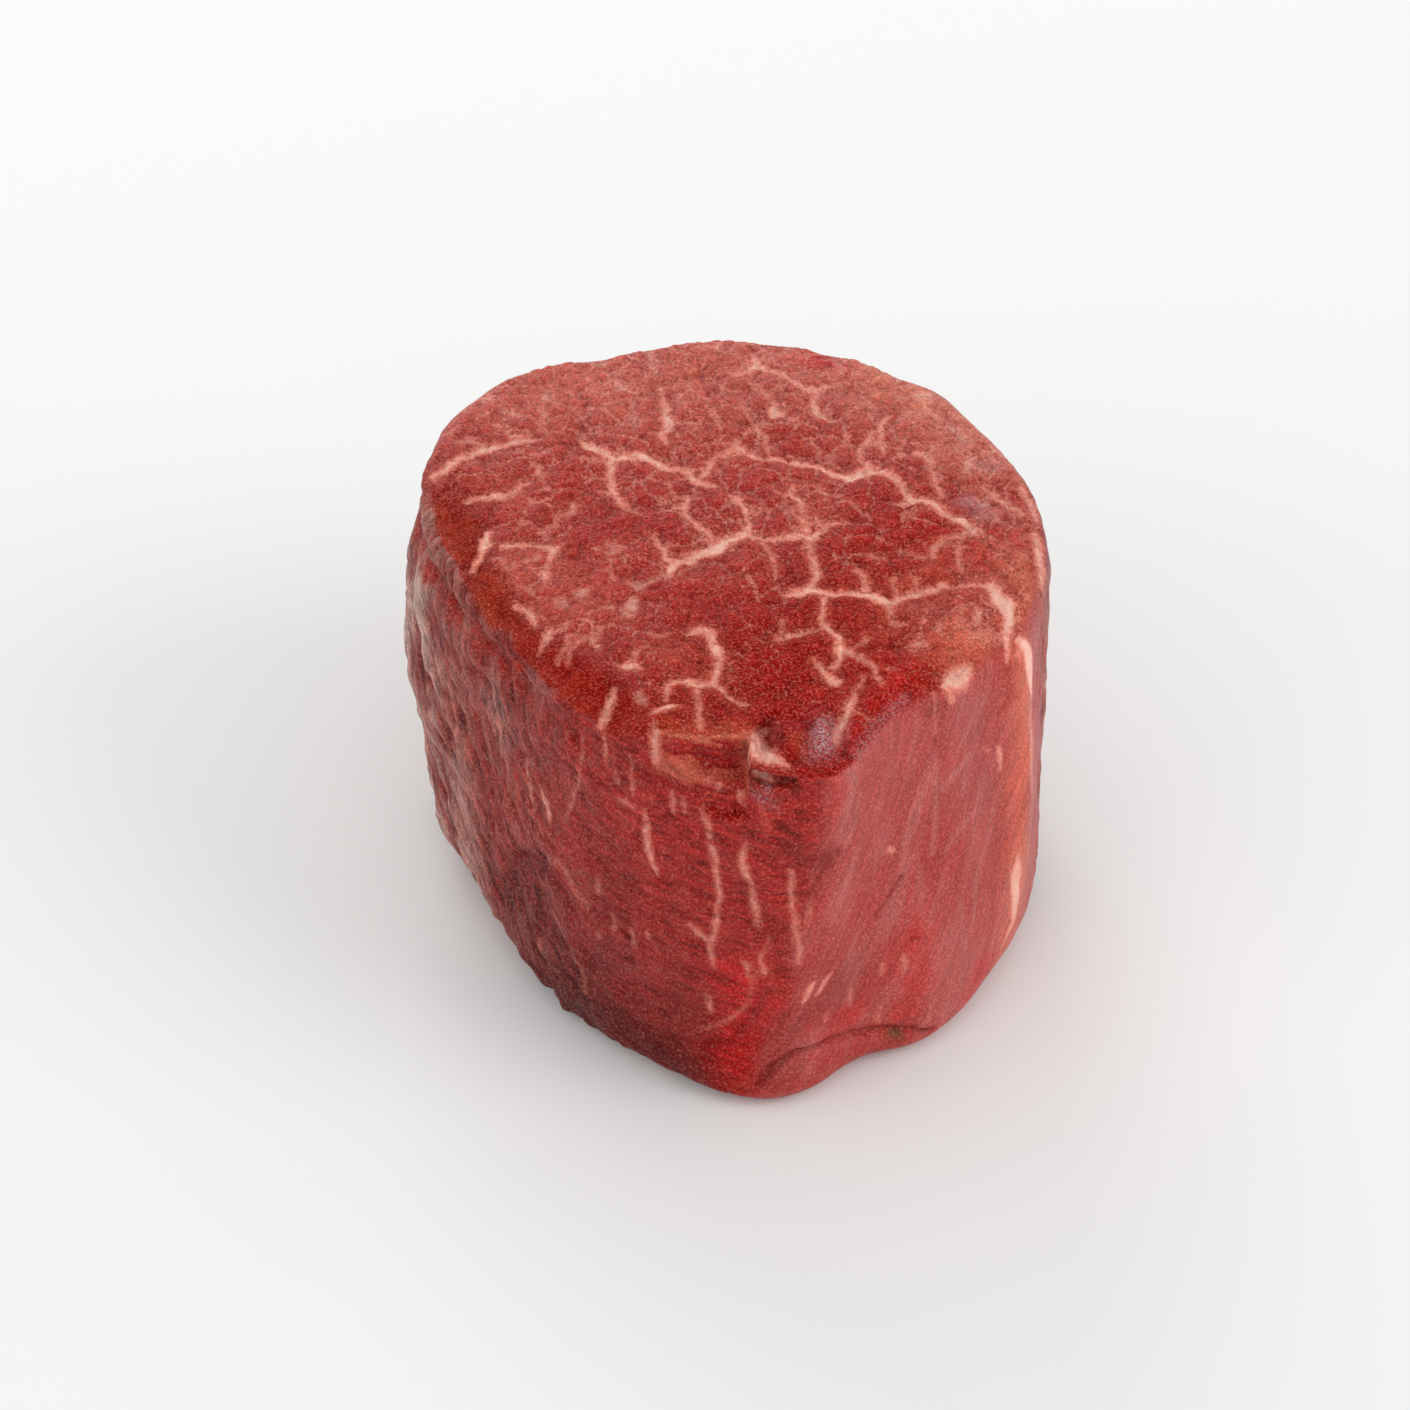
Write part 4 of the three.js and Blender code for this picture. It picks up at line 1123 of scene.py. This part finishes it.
def lit_and_shaded_tones(surface):
    """How much the upper face pales to the back, deepens in colour to the right front, and is right rim. The
    paling is paler meat with painted sheen, the deepening is partly painted shade, and the rim is paler meat
    with painted light.
    """
    x, y = surface.x, surface.y
    pale = np.maximum(smoothstep(8.0, 30.0, y), smoothstep(6.0, 18.0, y) * smoothstep(18.0, 28.0, x))
    pale = pale * (1.0 - 0.6 * bell(np.hypot((x - 7.0) / 9.0, (y - 21.0) / 7.0), 1.0))
    from_right = turn(0.0, surface.bearing)
    pale_lit_rim = smoothstep(24.0, 35.0, surface.reach) * smoothstep(-52.0, -22.0, from_right)
    pale_lit_rim = pale_lit_rim * smoothstep(84.0, 58.0, from_right)
    return pale, smoothstep(0.0, 18.0, 0.6 * x - 0.7 * y) * (1.0 - 0.8 * pale_lit_rim), pale_lit_rim


def face_colour(surface, gap, white):
    patches, small = uneven(surface)
    pale, deep, pale_lit_rim = lit_and_shaded_tones(surface)
    colour = layered(
        plain("face", len(gap)),
        # Paler meat with painted sheen to the back, painted shade deepening the right front, and painted
        # light on the right rim.
        ("face_pale", 0.70 * pale + 0.20 * patches),
        ("face_deep", 0.90 * deep + 0.35 * (1.0 - pale) * smoothstep(0.0, 0.8, -patches)),
        ("flesh", pale_lit_rim * (0.35 + 0.45 * small)),
        # painted shade in the cracks
        ("deep", 0.45 * cracks(surface)),
        ("face_pale", 0.55 * white * smoothstep(1.6, 0.0, gap)),
    )
    return tinted(colour, surface.x + small * 0.5, surface.y + patches * 0.6, FACE_TINTS, list)


def band_colour(colour, surface, band):
    """The colour with the glossy band along the left rim painted on it."""
    _, small = uneven(surface)
    outer, _ = past_band(surface, BAND_OUTSIDE)
    return layered(
        colour,
        ("rust", 0.84 * band),
        ("ember", 0.55 * band * smoothstep(-0.3, 0.6, small)),
        # a painted highlight along the band's outer edge
        ("coral", 0.22 * band * smoothstep(-1.6, -0.2, outer)),
        ("scarlet", 0.45 * band * smoothstep(200.0, 218.0, surface.bearing)),
    )


def corner_colour(colour, surface):
    """The colour with the torn corner's wall, shelf and cavity painted on it, with painted shade on the
    step's wall and in the cavity and a painted highlight along the ledge's edge.
    """
    x, height = surface.x, surface.height
    beyond, share = beyond_ledge(surface)
    outside = smoothstep(0.6, 1.0, beyond)
    shaded_wall = share * smoothstep(-4.0, -2.4, x) * smoothstep(-0.10, 0.10, beyond) * (1.0 - outside)
    shelf = share * outside * smoothstep(44.6, 45.8, height)
    end = share * smoothstep(0.9, 2.0, x) * smoothstep(-0.4, 0.2, beyond) * smoothstep(45.2, 46.4, height)
    edge = share * window(beyond, -0.8, -0.3, -0.2, 0.05)
    return layered(
        colour,
        ("flesh", 0.45 * shelf),
        # a painted highlight along the ledge's upper edge
        ("flesh", 0.95 * edge * smoothstep(47.0, 48.0, height)),
        # painted shade: the step's wall darker red
        ("scarlet", 0.95 * shaded_wall * smoothstep(44.6, 45.4, height)),
        ("flesh", 0.75 * end),
        # painted shade in the cavity
        ("deep", 0.95 * opening(surface, HOLLOW) * smoothstep(38.6, 37.4, surface.reach)),
    )


def painted_glint(surface):
    """Wet places that glisten, from 0 to 1: where wet highlights are painted on and the gloss is raised."""
    total = np.zeros(len(surface.x))
    high = smoothstep(HEIGHT - 6.0, HEIGHT - 4.0, surface.height)
    outside = smoothstep(34.0, 36.0, surface.reach)
    tables = (
        (FACE_GLINTS, surface.x, surface.y, list, high),
        (SIDE_GLINTS, surface.along, surface.height, unrolled, outside),
    )
    for table, x, y, lay, share in tables:
        for strength, spread, *path in table:
            away, _ = distance_to_path(x, y, lay(path))
            total = np.maximum(total, share * strength * bell(away, spread))
    return total


def store(mesh, name, values):
    """Keeps a number, a place or a colour for each vertex, for the material to read."""
    columns = 1 if values.ndim == 1 else values.shape[1]
    kind, field = {1: ("FLOAT", "value"), 3: ("FLOAT_VECTOR", "vector"), 4: ("FLOAT_COLOR", "color")}[columns]
    layer = mesh.attributes.new(name, kind, "POINT")
    layer.data.foreach_set(field, values.ravel().astype(np.float32))


def paint(piece):
    surface = Surface(piece.data).soften(5)
    region = sectors(surface)
    band, skin = left_rim(surface)
    face = region["face"] * (1.0 - skin)
    gap, white = fat_fields(surface, region)
    duller = 0.15 * face * smoothstep(14.0, 20.0, surface.x) * smoothstep(31.0, 28.0, surface.x)
    white = white * (1.0 - duller)
    # painted wet highlights, which also raise the gloss
    glint = painted_glint(surface)
    shares = {name: region[name] * (1.0 - face) for name in ("left", "front", "smooth", "back")}
    shares["face"] = face

    top = face_colour(surface, gap, white)
    colour = side_colour(surface, region) * (1.0 - face[:, None]) + top * face[:, None]
    colour = corner_colour(band_colour(colour, surface, band), surface)
    # Painted light and shade: the colour lightens on raised relief and darkens in its hollows, more on the
    # left silver skin.
    relief = face * face_relief(surface, gap, white) + (1.0 - face) * side_relief(surface, region)
    relief = relief * (1.0 + 0.8 * shares["left"])
    colour = colour * (1.0 + np.clip(relief, -0.5, 0.5)[:, None] * RELIEF_SHADING)
    contrast = sum(shares[name] * value for name, value in CONTRAST.items())
    gloss = sum(shares[name] * value for name, value in GLOSS.items())
    pale, deep, pale_lit_rim = lit_and_shaded_tones(surface)
    gloss = gloss + face * (0.25 * pale + 0.15 * pale_lit_rim - 0.24 * deep)
    gloss = gloss - 0.20 * shares["front"] * smoothstep(16.0, 6.0, surface.height)
    gloss = gloss * (1.0 - 0.85 * band) + 0.5 * glint

    opaque = np.ones((len(colour), 1))
    store(piece.data, "lean", np.concatenate([np.clip(colour, 0.0, 1.0), opaque], axis=1))
    store(piece.data, "flat", np.stack([surface.along * MM, surface.rise * MM, surface.rise * 0.0], axis=1))
    store(piece.data, "fat_gap", gap)
    store(piece.data, "fat_white", white)
    store(piece.data, "web_gap", web_gap(surface) + 0.14 * deep + 2.0 * (1.0 - face * (1.0 - band)))
    store(piece.data, "contrast", contrast * (1.0 - 0.7 * band))
    store(piece.data, "gloss", gloss)
    store(piece.data, "painted_glint", glint)
    for name in ("face", "left", "front", "smooth"):
        store(piece.data, name, shares[name])


# --- The material ----------------------------------------------------------------------------------

class Nodes:
    """Short ways to add a material's nodes."""

    def __init__(self, name):
        self.material = bpy.data.materials.new(name)
        self.material.use_nodes = True
        self.tree = self.material.node_tree
        self.shader = self.tree.nodes["Principled BSDF"]
        self.place = self.tree.nodes.new("ShaderNodeTexCoord").outputs["Object"]

    def plug(self, value, socket):
        if isinstance(value, bpy.types.NodeSocket):
            self.tree.links.new(value, socket)
        else:
            socket.default_value = value

    def read(self, name, output="Fac"):
        node = self.tree.nodes.new("ShaderNodeAttribute")
        node.attribute_name = name
        return node.outputs[output]

    def math(self, operation, *values):
        node = self.tree.nodes.new("ShaderNodeMath")
        node.operation = operation
        for value, socket in zip(values, node.inputs):
            self.plug(value, socket)
        return node.outputs[0]

    def ease(self, value, low, high, start=0.0, end=1.0):
        node = self.tree.nodes.new("ShaderNodeMapRange")
        node.interpolation_type = "SMOOTHSTEP"
        for socket, number in zip(node.inputs[:5], (value, low, high, start, end)):
            self.plug(number, socket)
        return node.outputs[0]

    def mix(self, first, second, share, blend_type="MIX"):
        node = self.tree.nodes.new("ShaderNodeMix")
        node.data_type = "RGBA"
        node.blend_type = blend_type
        self.plug(share, node.inputs[0])
        self.plug(first, node.inputs[6])
        self.plug(second, node.inputs[7])
        return node.outputs[2]

    def noise(self, cell, angles=(0.0, 0.0, 0.0), place=None, distortion=0.0):
        """Noise in cells of that size in mm, along axes turned by those degrees."""
        cells = self.tree.nodes.new("ShaderNodeMapping")
        cells.vector_type = "TEXTURE"
        cells.inputs["Rotation"].default_value = [math.radians(angle) for angle in angles]
        cells.inputs["Scale"].default_value = [size * MM for size in cell]
        self.plug(place or self.place, cells.inputs["Vector"])
        node = self.tree.nodes.new("ShaderNodeTexNoise")
        node.inputs["Scale"].default_value = 1.0
        node.inputs["Detail"].default_value = 3.0
        node.inputs["Roughness"].default_value = 0.6
        node.inputs["Distortion"].default_value = distortion
        self.plug(cells.outputs[0], node.inputs["Vector"])
        return node.outputs["Fac"]

    def strands(self, across, along, lean):
        """Noise drawn out along strands on the side, that lean off upright by `lean` degrees."""
        return self.noise((across, along, 1.0), (0.0, 0.0, lean), self.read("flat", "Vector"))

    def bump(self, height, distance, strength, normal=None):
        node = self.tree.nodes.new("ShaderNodeBump")
        node.inputs["Distance"].default_value = distance * MM
        self.plug(strength, node.inputs["Strength"])
        self.plug(height, node.inputs["Height"])
        if normal is not None:
            self.plug(normal, node.inputs["Normal"])
        return node.outputs[0]


def fibres(nodes):
    """The pattern of the fibres: ripples on the upper face, and another for each stretch of the side."""
    back = nodes.noise((0.7, 0.7, 5.0), (0.0, 25.0, 40.0))
    left = nodes.mix(nodes.strands(0.55, 5.0, 38.0), nodes.strands(0.30, 3.5, 50.0), 0.45)
    ripples = nodes.noise((0.9, 0.42, 0.9), (0.0, 0.0, -45.0), distortion=0.5)
    pattern = nodes.mix(back, left, nodes.read("left"))
    pattern = nodes.mix(pattern, nodes.strands(0.50, 3.2, 80.0), nodes.read("front"))
    pattern = nodes.mix(pattern, nodes.strands(0.60, 7.0, -30.0), nodes.read("smooth"))
    return nodes.mix(pattern, ripples, nodes.read("face"))


def with_fat(nodes, lean):
    """The lean's colour with the fine net of tissue and the fat laid over it, and the share of fat."""
    ragged = nodes.ease(nodes.noise((0.5, 0.5, 0.7)), 0.25, 0.75, -1.0, 1.0)
    thread = nodes.math("MULTIPLY_ADD", ragged, 0.14, nodes.read("web_gap"))
    colour = nodes.mix(lean, FAT_COLOUR, nodes.ease(thread, 0.30, 0.02, 0.0, 0.60))
    edge = nodes.ease(nodes.read("face"), 0.0, 1.0, 0.12, 0.20)
    gap = nodes.math("MULTIPLY_ADD", ragged, edge, nodes.read("fat_gap"))
    on_side = nodes.ease(nodes.read("face"), 0.0, 1.0, 0.10, 0.0)
    uneven_white = nodes.ease(nodes.noise((2.2, 2.2, 3.0)), 0.35, 0.60, 0.75, 1.0)
    white = nodes.math("MULTIPLY", uneven_white, nodes.read("fat_white"))
    share = nodes.math("MULTIPLY", nodes.ease(nodes.math("ADD", gap, on_side), 0.52, -0.24), white)
    mottled = nodes.ease(nodes.noise((1.1, 1.1, 1.6)), 0.35, 0.75, 0.6, 1.0)
    bright = nodes.math("MULTIPLY", mottled, nodes.ease(gap, 0.0, -0.6, 0.0, 1.0))
    return nodes.mix(colour, nodes.mix(FAT_COLOUR, FAT_BRIGHT, bright), share), share


def raw_beef():
    nodes = Nodes("raw beef")
    pattern = fibres(nodes)
    speckle = nodes.noise((0.32, 0.28, 0.32))
    coarse = nodes.ease(nodes.read("face"), 0.0, 1.0, 0.65, 1.0)
    signed = nodes.ease(pattern, 0.30, 0.70, -1.0, 1.0)
    shade = nodes.math("MULTIPLY_ADD", signed, nodes.read("contrast"), 1.0)
    lean = nodes.mix(nodes.read("lean", "Color"), shade, 1.0, "MULTIPLY")
    colour, fat = with_fat(nodes, lean)
    coarse = nodes.math("MULTIPLY", coarse, nodes.ease(fat, 0.2, 0.9, 1.0, 0.45))
    coarse = nodes.math("MULTIPLY", coarse, nodes.ease(nodes.read("contrast"), 0.05, 0.14, 0.75, 1.0))
    light = nodes.ease(speckle, 0.30, 0.70, -0.34, 0.34)
    colour = nodes.mix(colour, nodes.math("MULTIPLY_ADD", light, coarse, 1.0), 1.0, "MULTIPLY")
    # Pale specks in the grain, partly pink tissue and partly painted highlights.
    specks_and_glints = nodes.math("MULTIPLY", nodes.ease(speckle, 0.48, 0.70, 0.0, 0.30), coarse)
    colour = nodes.mix(colour, (*COLOURS["specks_and_glints"], 1.0), specks_and_glints)
    # Painted wet highlights: pale sparkles where the wet places glisten.
    sparkle = nodes.ease(nodes.noise((0.24, 0.24, 0.24)), 0.46, 0.60)
    colour = nodes.mix(colour, (*COLOURS["painted_glint"], 1.0), nodes.math("MULTIPLY", sparkle, nodes.read("painted_glint")))

    shader = nodes.shader
    nodes.plug(colour, shader.inputs["Base Color"])
    nodes.plug(nodes.ease(speckle, 0.3, 0.7, 0.46, 0.32), shader.inputs["Roughness"])
    nodes.plug(nodes.read("gloss"), shader.inputs["Specular IOR Level"])
    shader.inputs["IOR"].default_value = 1.4
    shader.inputs["Subsurface Weight"].default_value = 0.15
    shader.inputs["Subsurface Radius"].default_value = (1.0, 0.22, 0.16)
    shader.inputs["Subsurface Scale"].default_value = 1.2 * MM
    relief = nodes.bump(pattern, 0.40, nodes.ease(nodes.read("smooth"), 0.0, 1.0, 0.85, 0.20))
    relief = nodes.bump(speckle, 0.34, coarse, relief)
    nodes.plug(relief, shader.inputs["Normal"])
    return nodes.material


# --- The studio ------------------------------------------------------------------------------------

AIM = Vector((-2.27, 1.18, 25.25)) * MM  # what the camera looks at
ELEVATION = 42.0
DISTANCE = 0.58
LENS = 123.9
SENSOR = 36.0
WINDOWS = (  # soft lamps: name, place, size across, power
    ("right_window", (1.00, -0.30, 0.70), 0.8, 4.5),
    ("back_window", (-0.35, 1.10, 0.50), 0.8, 4.8),
    ("front_fill", (-0.95, -0.60, 0.50), 1.0, 2.6),
)
ROOM_COLOUR = (1.0, 0.995, 0.985, 1.0)
ROOM_LIGHT = 0.75
FLOOR_HALF = 3.0
FLOOR_COLOUR = (0.865, 0.88, 0.88, 1.0)


def camera():
    data = bpy.data.cameras.new("camera")
    data.lens = LENS
    data.sensor_width = SENSOR
    data.clip_start = 0.01
    item = new_piece("camera", data)
    tilt = math.radians(ELEVATION)
    back = Vector((0.0, -math.cos(tilt), math.sin(tilt)))
    item.location = AIM + back * DISTANCE
    item.rotation_euler = back.to_track_quat("Z", "Y").to_euler()
    bpy.context.scene.camera = item


def softbox(name, place, size, power):
    data = bpy.data.lights.new(name, "AREA")
    data.shape = "DISK"
    data.size = size
    data.energy = power
    item = new_piece(name, data)
    item.location = place
    item.rotation_euler = (item.location - AIM).to_track_quat("Z", "Y").to_euler()


def studio():
    world = bpy.data.worlds.new("white room")
    world.use_nodes = True
    background = world.node_tree.nodes["Background"]
    background.inputs["Color"].default_value = ROOM_COLOUR
    background.inputs["Strength"].default_value = ROOM_LIGHT
    bpy.context.scene.world = world
    for lamp in WINDOWS:
        softbox(*lamp)
    bpy.context.scene.view_settings.view_transform = "Standard"


def floor():
    half = FLOOR_HALF
    mesh = bpy.data.meshes.new("floor")
    corners = [(-half, -half, 0.0), (half, -half, 0.0), (half, half, 0.0), (-half, half, 0.0)]
    mesh.from_pydata(corners, [], [(0, 1, 2, 3)])
    item = new_piece("floor", mesh)
    paper = Nodes("pale floor")
    paper.shader.inputs["Base Color"].default_value = FLOOR_COLOUR
    paper.shader.inputs["Roughness"].default_value = 0.75
    mesh.materials.append(paper.material)


# --- Putting it together ---------------------------------------------------------------------------

camera()
studio()
floor()
steak = make_steak()
paint(steak)
steak.data.materials.append(raw_beef())
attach(steak, "root")
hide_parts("steak")
